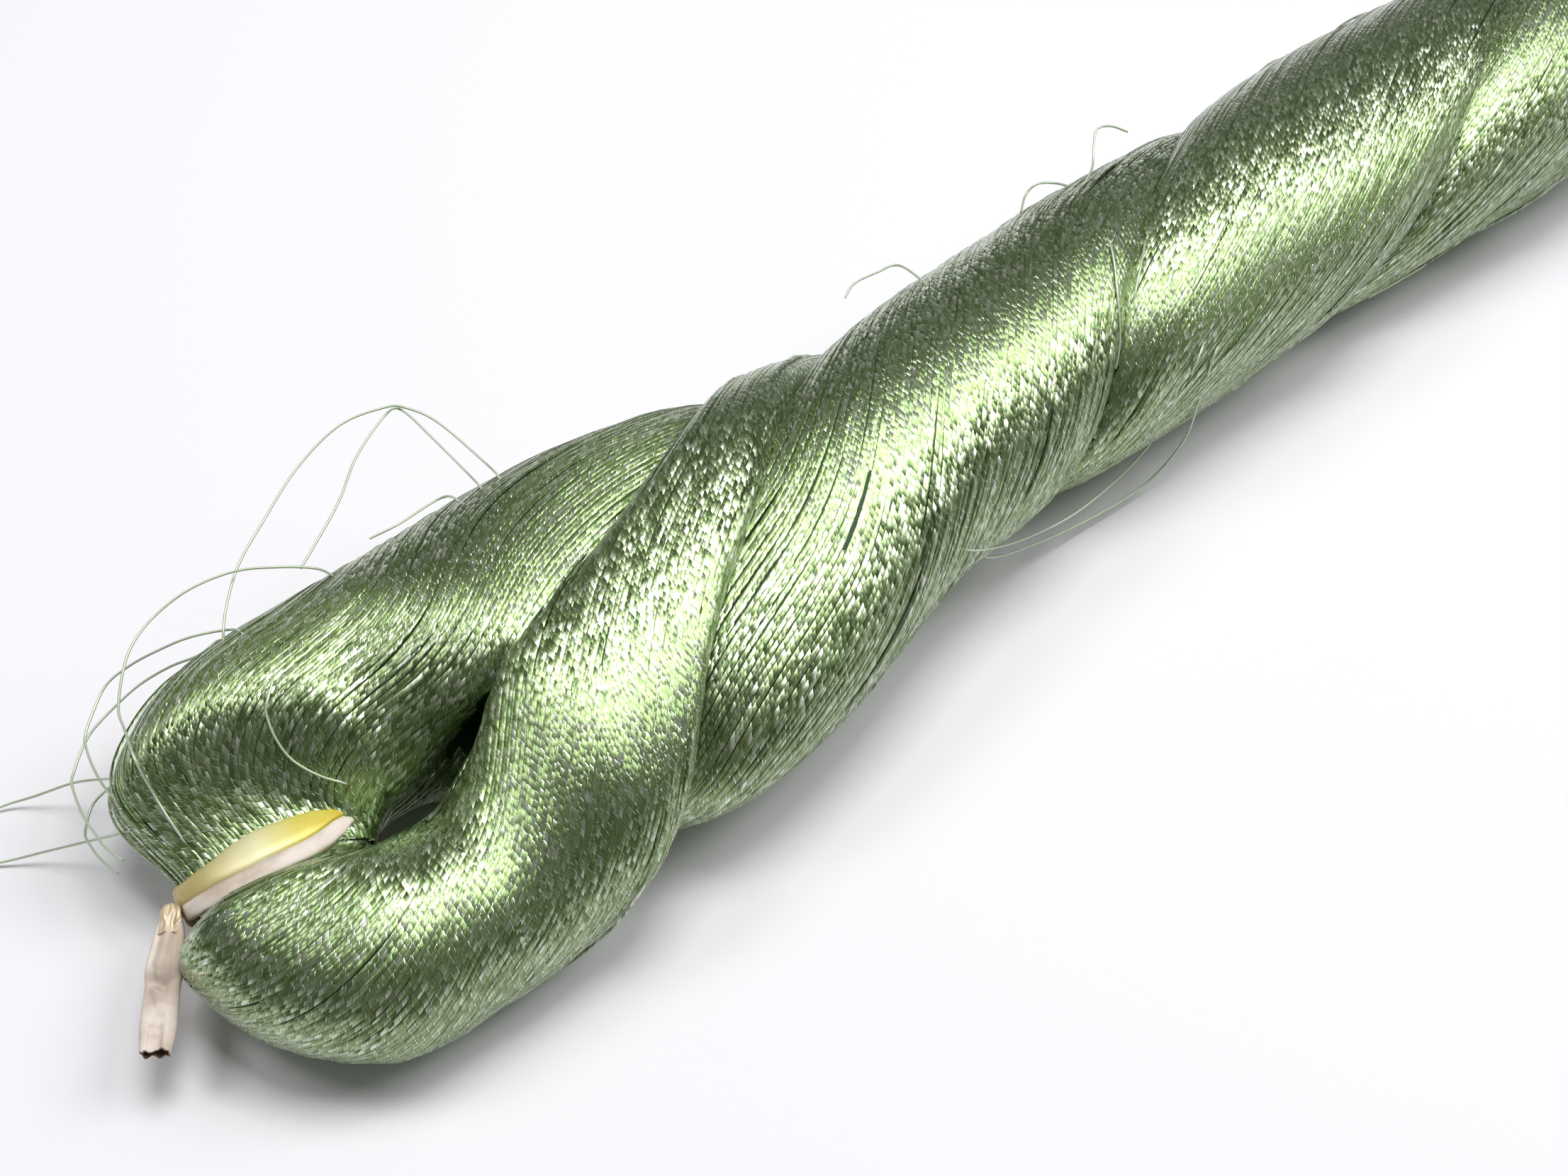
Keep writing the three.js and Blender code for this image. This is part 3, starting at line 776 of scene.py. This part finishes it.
tieMiddle, tieHalf = (tie["inner"] + tie["outer"]) / 2, (tie["outer"] - tie["inner"]) / 2
strip = {"turns": 180, "back": -0.25, "paperLower": 0.14, "wave": 0.05}
# the strip's edges and face waver a little: waves round the tie, their shift and their share
stripWaves = [(5, 1, 1), (11, 0, 0.6), (23, 2, 0.4)]
# across the gold face, from its paper side (-1) to its far edge (1): the share of its height
goldProfile = [
    (-1, 0.8), (-0.75, 0.95), (-0.4, 1.0), (0, 1.0), (0.35, 0.97), (0.6, 0.86), (0.8, 0.64), (0.93, 0.36),
    (1, 0.06),
]
paperProfile = [(-1, 0.72), (-0.9, 0.92), (-0.4, 0.98), (0.2, 1.0), (1, 1.0)]
knot = {
    "width": 1.35, "height": 1.15, "out": 0.6, "across": 0.3, "level": 5.1, "rings": 30, "sides": 56,
    "pleats": 7, "pleatDepth": 0.13, "twist": 1.5, "fineDepth": 0.06, "foldDepth": 0.08, "foldPitch": 4.5,
    "worth": 400,
}
knotRows = table(
    "along size",
    (-1.1, 0.35),
    (-0.85, 0.8),
    (-0.3, 1.0),
    (0.25, 0.86),
    (0.6, 0.78),
    (1.1, 0.9),
)
tail = {
    "heading": 233.6, "start": 0.6, "sides": 72, "step": 0.1, "wall": 0.12, "squareness": 2.8,
    "hollow": 2.4, "hollowRings": 14, "pinchFrom": 5.5, "pinchAt": -0.1, "pinchWidth": 0.22, "pinch": 0.75,
    "ragged": 0.1, "raggedFrom": 1.2,
}
tailRows = table(
    "along width thickness turn lift",
    (-0.5, 1.5, 0.9, 0, -0.2),
    (0, 1.75, 0.9, 0, -0.2),
    (0.9, 2.05, 1.0, 4, -0.2),
    (3, 2.5, 0.95, 12, -0.1),
    (3.9, 2.25, 0.8, 8, -0.15),
    (4.6, 2.2, 0.95, 4, -0.2),
    (6.6, 2.2, 1.05, -8, -0.3),
    (8.4, 1.85, 1.0, -10, -0.4),
)
# creases pressed into the tail's upper side: both ends by distance along and across, their height, and their
# reach to each side
tailFolds = table(
    "from to height reach",
    ((0.2, 0.1), (3.4, -0.15), 0.26, 0.35),
    ((0.1, -0.45), (2.6, -0.75), -0.16, 0.3),
    ((0.2, 0.5), (3.2, 0.75), -0.14, 0.3),
    ((3.6, -0.9), (4.2, 0.1), -0.24, 0.45),
    ((4.2, 0.1), (3.5, 1.0), -0.22, 0.45),
    ((4.3, -0.3), (5.9, 0.25), 0.2, 0.4),
    ((4.6, 0.7), (8.2, 0.55), 0.12, 0.35),
    ((5.4, 0.3), (7.0, -0.1), -0.12, 0.3),
    ((6.6, -0.15), (8.4, -0.05), 0.14, 0.16),
    ((6.9, 0.18), (8.4, 0.2), -0.2, 0.16),
    ((6.9, -0.42), (8.4, -0.4), -0.16, 0.16),
)


def loftPiece(name, *lofts):
    # for each loft: its rings joined one to the next, whether it closes, and one number kept at each point
    vertices, faces, worths, base = [], [], [], 0
    for rings, closedAlong, value in lofts:
        count, sides = rings.shape[:2]
        faces.append(base + gridFaces(count, sides, closedAlong))
        if not closedAlong:
            faces.append(base + endFaces(count, sides))
        vertices.append(rings.reshape(-1, 3))
        worths.append(np.asarray(value).ravel())
        base += count * sides
    mesh = newMesh(name, np.concatenate(vertices), faces)
    keepAtPoints(mesh, "worth", "FLOAT", "value", np.concatenate(worths))
    return mesh


def stripRings(low, high, profile, lower):
    # a strip tied round the threads: one ring for each step round the tie, across it and back underneath
    degrees = 360 * np.arange(strip["turns"]) / strip["turns"]
    turn = np.radians(degrees)
    lowEdge, highEdge = (readColumn(tieRows, "turn", column, degrees) for column in (low, high))
    face = readColumn(tieRows, "turn", "face", degrees) - lower
    wave = strip["wave"] * sum(share * np.sin(times * turn + shift) for times, shift, share in stripWaves)
    rings = []
    for c, height in [*profile, (1, None), (0, None), (-1, None)]:
        back, atEdge = height is None, abs(c) == 1 and height is not None
        off = strip["back"] + (0 if back else (face - strip["back"]) * height + wave * (1 - c * c) * 0.5)
        across = (lowEdge + highEdge) / 2 + (highEdge - lowEdge) / 2 * c + wave * 0.6 * atEdge
        points = nearFoot + (tieMiddle + (tieHalf + off) * np.sin(turn))[:, None] * tieOutward
        points = points + across[:, None] * tieSideways
        points[:, 2] = tie["middle"] - (tie["halfHeight"] + off) * np.cos(turn)
        rings.append(points)
    rings = np.stack(rings, axis=1)
    return rings, np.repeat(degrees[:, None], rings.shape[1], axis=1)


def headed(along, across, up):
    # a point of the knot or the tail: along its heading, across it and up
    heading = np.radians(tail["heading"])
    forward = np.array([np.cos(heading), np.sin(heading), 0])
    sideways = np.array([-np.sin(heading), np.cos(heading), 0])
    return along[..., None] * forward + across[..., None] * sideways + up[..., None] * np.array([0, 0, 1])


def knotMiddle():
    face = tie["outer"] + float(readColumn(tieRows, "turn", "face", 90.0))
    middle = nearFoot + tieOutward * (face + knot["out"]) + tieSideways * knot["across"]
    return middle + np.array([0, 0, knot["level"]])


def knotRings():
    # the strip gathered and pulled through itself: a short neck with pleats along it
    along = np.linspace(knotRows[0]["along"], knotRows[-1]["along"], knot["rings"])[:, None]
    angle = 2 * np.pi * np.arange(knot["sides"]) / knot["sides"]
    size = readColumn(knotRows, "along", "size", along)
    pleat = 1 + knot["pleatDepth"] * np.sin(knot["pleats"] * angle + knot["twist"] * along)
    pleat = pleat + knot["fineDepth"] * np.sin((2 * knot["pleats"] - 1) * angle - 2 * knot["twist"] * along)
    fold = knot["foldDepth"] * np.sin(knot["foldPitch"] * along + 2 * angle)
    across = knot["width"] / 2 * size * (pleat + fold) * np.cos(angle)
    up = knot["height"] / 2 * size * (pleat - fold) * np.sin(angle)
    rings = knotMiddle() + headed(along + 0 * angle, across, up)
    return rings, np.full(rings.shape[:2], float(knot["worth"]))


def tailRings():
    # the strip's free end: a flattened paper tube, creased, open at its tip
    start, end = tailRows[0]["along"], tailRows[-1]["along"]
    outerAlong = np.linspace(start, end, int((end - start) / tail["step"]))
    innerAlong = np.linspace(end, end - tail["hollow"], tail["hollowRings"])
    angle = 2 * np.pi * np.arange(tail["sides"]) / tail["sides"]
    power = 2 / tail["squareness"]
    c, q = (np.sign(f(angle)) * np.abs(f(angle)) ** power for f in (np.cos, np.sin))
    root = knotMiddle() + headed(*np.array([tail["start"], 0.0, 0.0]))
    rings = []
    for along, inset in [(outerAlong[:, None], 0.0), (innerAlong[:, None], tail["wall"])]:
        columns = ("width", "thickness", "turn", "lift")
        width, thick, turn, lift = (readColumn(tailRows, "along", column, along) for column in columns)
        across, up = (width / 2 - inset) * c, (thick / 2 - inset) * q
        pinch = np.exp(-((across - tail["pinchAt"]) / tail["pinchWidth"]) ** 2)
        up = up * (1 - tail["pinch"] * pinch * smooth(along, tail["pinchFrom"], end))
        for fold in tailFolds:
            (a0, c0), (a1, c1) = fold["from"], fold["to"]
            t = ((along - a0) * (a1 - a0) + (across - c0) * (c1 - c0)) / ((a1 - a0) ** 2 + (c1 - c0) ** 2)
            t = np.clip(t, 0, 1)
            away = np.hypot(along - a0 - t * (a1 - a0), across - c0 - t * (c1 - c0))
            up = up + fold["height"] * np.clip(1 - away / fold["reach"], 0, 1) * (0.5 + 0.5 * q)
        ragged = tail["ragged"] * (np.sin(3 * angle + 1) + 0.6 * np.sin(8 * angle))
        drawn = along + ragged * smooth(along, end - tail["raggedFrom"], end)
        a = np.radians(turn)
        sideways, upwards = across * np.cos(a) - up * np.sin(a), lift + across * np.sin(a) + up * np.cos(a)
        rings.append(root + headed(drawn, sideways, upwards))
    value = np.concatenate([outerAlong, 2 * end - innerAlong])
    rings = np.concatenate(rings)
    return rings, np.repeat(value[:, None], rings.shape[1], axis=1)


# metallised film on thin paper, rolled to a narrow strip: a smooth gloss, with a long soft painted highlight,
# pale cream where it passes over the top of the threads, yellower where it bends into the eye, and showing
# its paper back where it is knotted
goldFilm = {
    # the pale cream near the middle of this ramp is a painted highlight where the strip passes over the
    # threads' top
    "filmAndPaintedHighlight": [(0.0, "#C4AC60"), (0.3, "#D8CC92"), (0.55, "#E8E2B4"), (0.78, "#D8CA5C"), (1.0, "#CBB41A")],
    "turns": (90.0, 240.0), "paper": "#D8C6A8", "patchScale": 1300, "patches": (0.3, 0.42),
    "wrinkle": 0.25, "wrinkleScale": 900, "wrinkleDepth": 0.0001,
    "sockets": {"Metallic": 0.3, "Roughness": 0.5, "Coat Weight": 0.8, "Coat Roughness": 0.34},
}
# where the paper turns dark brown: the margin by its place round the tie, less than none, and the tail by its
# distance along; inside the tail's open end the dark brown is painted shade
tieDarkBrownEnds = {"margin": (-106.0, -101.0), "tail": (8.34, 8.42)}
# the bare back of the same paper: matte, uneven in tone, dark brown on the margin from under the threads
# round to just past the knot and at the tail's tip, and dark brown as painted shade inside the tail's open
# end
tiePaper = {
    "shades": [(0.0, "#BFAE9F"), (0.5, "#D5C6B9"), (1.0, "#E4D9CF")], "darkBrown": "#6E553E",
    "toneScale": 420, "tones": (0.3, 0.7), "fibreScale": 2800, "grain": 0.25, "grainDepth": 0.00005,
    "sockets": {"Roughness": 0.8},
}


def goldFilmMaterial():
    material, tree, shader = newMaterial("goldFilmOnPaper", goldFilm["sockets"])
    add = partial(addNode, tree)
    turn = add("Attribute", attribute_name="worth")["Fac"]
    place = add("TexCoord")["Object"]
    first, last = goldFilm["turns"]
    along = add("MapRange", {0: turn, 1: first, 2: last}, interpolation_type="SMOOTHSTEP")[0]
    # the film's colour round the tie, with its painted highlight over the threads' top
    filmWithPaintedHighlight = add("ValToRGB", {"Fac": along}, goldFilm["filmAndPaintedHighlight"])["Color"]
    patch = add("TexNoise", {"Vector": place, "Scale": goldFilm["patchScale"], "Detail": 1.0})[0]
    low, high = goldFilm["patches"]
    isPaper = add("MapRange", {0: patch, 1: low, 2: high}, interpolation_type="SMOOTHSTEP")[0]
    inKnot = add("Math", {0: turn, 1: 0.95 * knot["worth"]}, operation="GREATER_THAN")[0]
    bare = add("Math", {0: inKnot, 1: isPaper}, operation="MULTIPLY")[0]
    coloured = add("MixRGB", {"Fac": bare, "Color1": filmWithPaintedHighlight, "Color2": linear(goldFilm["paper"])})[0]
    crease = add("TexNoise", {"Vector": place, "Scale": goldFilm["wrinkleScale"], "Detail": 3.0})[0]
    bump = {"Height": crease, "Strength": goldFilm["wrinkle"], "Distance": goldFilm["wrinkleDepth"]}
    setInputs(tree, shader, {"Base Color": coloured, "Normal": add("Bump", bump)[0]})
    return material


def paperMaterial(name, darkFrom, darkTo):
    material, tree, shader = newMaterial(name, tiePaper["sockets"])
    add = partial(addNode, tree)
    worth = add("Attribute", attribute_name="worth")["Fac"]
    place = add("TexCoord")["Object"]
    tone = add("TexNoise", {"Vector": place, "Scale": tiePaper["toneScale"], "Detail": 3.0})[0]
    low, high = tiePaper["tones"]
    uneven = add("MapRange", {0: tone, 1: low, 2: high}, interpolation_type="SMOOTHSTEP")[0]
    paper = add("ValToRGB", {"Fac": uneven}, tiePaper["shades"])["Color"]
    # the dark brown share: on the margin up to the knot, and at the tail's tip and inside its hollow, where
    # it is painted shade
    darkBrown = add("MapRange", {0: worth, 1: darkFrom, 2: darkTo}, interpolation_type="SMOOTHSTEP")[0]
    coloured = add("MixRGB", {"Fac": darkBrown, "Color1": paper, "Color2": linear(tiePaper["darkBrown"])})[0]
    fibre = add("TexNoise", {"Vector": place, "Scale": tiePaper["fibreScale"], "Detail": 4.0})[0]
    bump = {"Height": fibre, "Strength": tiePaper["grain"], "Distance": tiePaper["grainDepth"]}
    setInputs(tree, shader, {"Base Color": coloured, "Normal": add("Bump", bump)[0]})
    return material


def addTie():
    rings, turn = stripRings("seam", "gold", goldProfile, 0)
    knotShape, inKnot = knotRings()
    gold = loftPiece("tieGoldFilm", (rings, True, turn), (knotShape, False, inKnot))
    addPiece("tieGoldFilm", gold, goldFilmMaterial(), "gold_film", "tie_band")
    rings, turn = stripRings("paper", "seam", paperProfile, strip["paperLower"])
    margin = loftPiece("tiePaperMargin", (rings, True, np.where(turn < 180, -turn, -360)))
    marginPaper = paperMaterial("paperMargin", *tieDarkBrownEnds["margin"])
    addPiece("tiePaperMargin", margin, marginPaper, "tie_paper", "tie_margin")
    rings, along = tailRings()
    tailMesh = loftPiece("tieTail", (rings, False, along))
    addPiece("tieTail", tailMesh, paperMaterial("paperTail", *tieDarkBrownEnds["tail"]), "tie_paper", "tie_tail")


addTie()


def addCamera():
    camera = bpy.data.cameras.new("camera")
    camera.lens, camera.sensor_width, camera.clip_start = view["lens"], view["sensor"], 0.01
    turn, elevation = np.radians(view["turn"]), np.radians(view["elevation"])
    right = np.array([np.cos(turn), -np.sin(turn), 0])
    ahead = np.array([np.sin(turn) * np.cos(elevation), np.cos(turn) * np.cos(elevation), -np.sin(elevation)])
    up = np.cross(right, ahead)
    eye = toFrame(np.array(view["target"]) - ahead * view["distance"])
    placed = Matrix.Identity(4)
    for column, axis in enumerate((right, up, -ahead)):
        placed.col[column][:3] = axis
    placed.translation = Vector(eye)
    holder = bpy.data.objects.new("camera", camera)
    holder.matrix_world = placed
    bpy.context.scene.collection.objects.link(holder)
    bpy.context.scene.camera = holder
    return right, ahead, up


cameraRight, cameraAhead, cameraUp = addCamera()

# threads that have come loose, a list for each: the pixels across and down the photograph that it passes, and
# its height over the table in mm; None lies on the winding
strays = [
    [(706, 676, None), (690, 658, 11.5), (618, 596, 12.5), (571, 575, 13.2), (542, 575, 13.6),
     (479, 600, 13.6), (420, 659, 13), (369, 739, 12.5), (336, 798, 12), (319, 857, 11.5), (315, 899, 11),
     (318, 925, None)],
    [(680, 690, None), (664, 672, 11.8), (605, 613, 12.6), (567, 579, 13), (546, 583, 13), (504, 642, 12.6),
     (479, 705, 12.2), (449, 760, 11.8), (424, 802, 11.4), (411, 838, None)],
    [(470, 812, None), (446, 802, 11.5), (395, 800, 12.3), (331, 806, 12.6), (268, 831, 12.6),
     (218, 869, 12.2), (188, 907, 12), (174, 945, 11.8), (167, 1000, 11.6), (176, 1030, 11.6),
     (191, 1073, 11.8), (216, 1119, None), (240, 1158, None), (262, 1190, None)],
    [(345, 896, None), (327, 888, 10.8), (268, 899, 10.5), (218, 920, 9.8), (180, 941, 9), (150, 966, 8.4),
     (133, 1000, 8), (120, 1038, 7.6), (123, 1060, 7.6), (133, 1086, 7.6), (149, 1113, 7.8),
     (172, 1136, None)],
    [(330, 915, None), (310, 903, 9.6), (281, 924, 9.2), (239, 941, 8.4), (197, 966, 7.6), (163, 996, 7),
     (131, 1030, 6.6), (116, 1056, 6.4), (104, 1090, 6.2), (101, 1104, 6.2), (108, 1129, 6.2),
     (119, 1154, 6.2), (136, 1179, 6.2), (149, 1196, 6.3), (174, 1214, 6.4), (205, 1236, None)],
    [(182, 1092, None), (161, 1106, 6), (141, 1123, 5.4), (128, 1141, 5), (120, 1174, 5), (124, 1187, 5.1),
     (141, 1211, 5.3), (166, 1232, 5.6), (212, 1256, None)],
    [(176, 1094, None), (158, 1098, 5), (106, 1104, 3), (50, 1123, 1.2), (0, 1139, 0.4), (-60, 1168, 0.3),
     (-85, 1200, 0.3), (-50, 1222, 0.3), (0, 1217, 0.4), (66, 1201, 1.4), (136, 1184, 3.4),
     (185, 1172, None)],
    [(655, 712, None), (626, 701, 10.8), (563, 739, 10.8), (521, 760, 10.6), (490, 790, None)],
    [(1370, 775, None), (1397, 786, 5), (1440, 775, 3), (1511, 745, 1.4), (1580, 708, 1), (1629, 671, 1.6),
     (1671, 620, 4.5), (1690, 570, 8), (1709, 512, None), (1722, 480, None)],
    [(1340, 770, None), (1380, 776, None), (1440, 762, 4.4), (1520, 722, 3), (1600, 652, 4), (1650, 585, 7),
     (1684, 520, None), (1700, 480, None)],
    [(2120, 225, None), (2102, 254, None), (2081, 291, 7), (2022, 363, 4), (1975, 395, 4),
     (1930, 420, None)],
    [(1528, 262, None), (1541, 236, 16), (1543, 205, 16.5), (1548, 182, 17), (1568, 178, 17),
     (1591, 186, 16.5), (1622, 190, None)],
    [(1196, 462, None), (1192, 420, 14), (1205, 400, 14.4), (1238, 384, 14.6), (1270, 375, 14.6),
     (1300, 385, None), (1318, 410, None)],
    [(1440, 300, None), (1447, 275, 15), (1462, 260, 15.5), (1485, 258, 15.2), (1505, 262, None)],
    [(1560, 330, None), (1570, 360, None), (1577, 420, None), (1580, 480, None), (1574, 520, None)],
    [(1616, 340, None), (1610, 372, None), (1603, 405, None), (1600, 430, None)],
    [(388, 950, None), (378, 985, None), (375, 1005, None), (388, 1040, None), (412, 1072, None),
     (450, 1094, None), (490, 1106, None)],
]
stray = {
    "radius": 0.09, "step": 0.35, "sides": 6, "raised": 0.08, "bury": 0.25, "fine": 24, "leanOver": 0.3,
    "colour": "#C3CFB6",
}


def seenAt(across, down, level, winding):
    # the place that a pixel of the photograph shows: at a level, or where its line of sight meets the
    # winding, if it does
    perPixel = view["sensor"] / view["lens"] / photo["width"]
    sideways, upwards = (across - photo["width"] / 2) * perPixel, (photo["height"] / 2 - down) * perPixel
    ray = cameraAhead + sideways * cameraRight + upwards * cameraUp
    eye = np.array(view["target"]) - cameraAhead * view["distance"]
    if level is not None:
        return eye + ray * (level - eye[2]) / ray[2], ray
    hit = winding.ray_cast(Vector(eye), Vector(ray))[0]
    return (None if hit is None else np.array(hit)), ray


def curved(points, step):
    # a smooth curve through points, evenly spaced
    ends = np.concatenate([2 * points[:1] - points[1:2], points, 2 * points[-1:] - points[-2:-1]])
    t = np.linspace(0, 1, stray["fine"], endpoint=False)[:, None]
    pieces = []
    for a, b, c, d in zip(ends, ends[1:], ends[2:], ends[3:]):
        first, second, third = c - a, 2 * a - 5 * b + 4 * c - d, 3 * b - a - 3 * c + d
        pieces.append(b + (first * t + second * t ** 2 + third * t ** 3) / 2)
    fine = np.concatenate([*pieces, points[-1:]])
    length = lengthAlong(fine)
    even = np.linspace(0, length[-1], max(int(length[-1] / step), 4))
    return np.stack([np.interp(even, length, fine[:, c]) for c in range(3)], axis=1), even


def strayRuns():
    faces = gridFaces(*surface.shape[:2])
    winding = BVHTree.FromPolygons(surface.reshape(-1, 3).tolist(), faces.tolist())
    runs = []
    for way in strays:
        passed = []
        for number, (across, down, level) in enumerate(way):
            place, ray = seenAt(across, down, level, winding)
            if place is None:
                continue
            if level is None:
                isEnd = number in (0, len(way) - 1)
                place = place + ray * (stray["bury"] if isEnd else -stray["raised"])
            passed.append(place)
        points, length = curved(np.array(passed), stray["step"])
        points[:, 2] = np.maximum(points[:, 2], stray["radius"])
        upwards = np.tile([0.0, 0.0, 1.0], (len(points), 1)) + stray["leanOver"] * cameraRight
        runs.append({
            "points": points, "normals": upwards, "radius": np.full(len(points), stray["radius"]),
            "length": length, "turn": rng.random(),
        })
    return runs


def looseThreadMaterial():
    # the same foil round a single thread: its facets are too fine to tell apart against the light table, so
    # it shows as one pale gloss
    sockets = {"Base Color": linear(stray["colour"]), "Metallic": 0.45, "Roughness": 0.4}
    return newMaterial("looseFoilThread", sockets)[0]


strayMesh = tubePiece("strayThreads", strayRuns(), stray["sides"], 1.0)
addPiece("strayThreads", strayMesh, looseThreadMaterial(), "foil_thread")

# a soft lamp over the far side of the table, a larger one from the right, a weak one from the left, and pale
# walls all round
studio = {"floorSize": 3.0, "floor": "#EDECF0", "world": 0.14, "worldColour": "#FBFCFF"}
lamps = table(
    "name energy size distance elevation aside behind",
    ("overhead", 1.85, 0.24, 0.55, 80, 0.5, 0.85),
    ("right", 2.5, 0.36, 0.75, 48, 1.0, 0.25),
    ("left", 1.1, 0.22, 0.75, 57, -1.0, 0.1),
)


def addFloor():
    mesh = bpy.data.meshes.new("floor")
    half = studio["floorSize"] / 2
    corners = [(-half, -half, 0), (half, -half, 0), (half, half, 0), (-half, half, 0)]
    mesh.from_pydata(corners, [], [(0, 1, 2, 3)])
    sockets = {"Base Color": linear(studio["floor"]), "Roughness": 0.9}
    mesh.materials.append(newMaterial("paleTable", sockets)[0])
    floor = bpy.data.objects.new("floor", mesh)
    bpy.context.scene.collection.objects.link(floor)


def addLight():
    world = bpy.data.worlds.new("studio")
    world.use_nodes = True
    sky = world.node_tree.nodes["Background"]
    sky.inputs["Color"].default_value = linear(studio["worldColour"])
    sky.inputs["Strength"].default_value = studio["world"]
    bpy.context.scene.world = world
    ahead = np.array([*cameraAhead[:2], 0]) / np.linalg.norm(cameraAhead[:2])
    for row in lamps:
        level = cameraRight * row["aside"] + ahead * row["behind"]
        level /= np.linalg.norm(level)
        elevation = np.radians(row["elevation"])
        toLight = level * np.cos(elevation) + np.array([0, 0, np.sin(elevation)])
        lamp = bpy.data.lights.new(row["name"], "AREA")
        lamp.energy, lamp.size = row["energy"], row["size"]
        holder = bpy.data.objects.new(row["name"], lamp)
        holder.location = Vector(toFrame(view["target"]) + toLight * row["distance"])
        holder.rotation_euler = Vector(toLight).to_track_quat("Z", "Y").to_euler()
        bpy.context.scene.collection.objects.link(holder)
    bpy.context.scene.view_settings.view_transform = "Standard"


addFloor()
addLight()
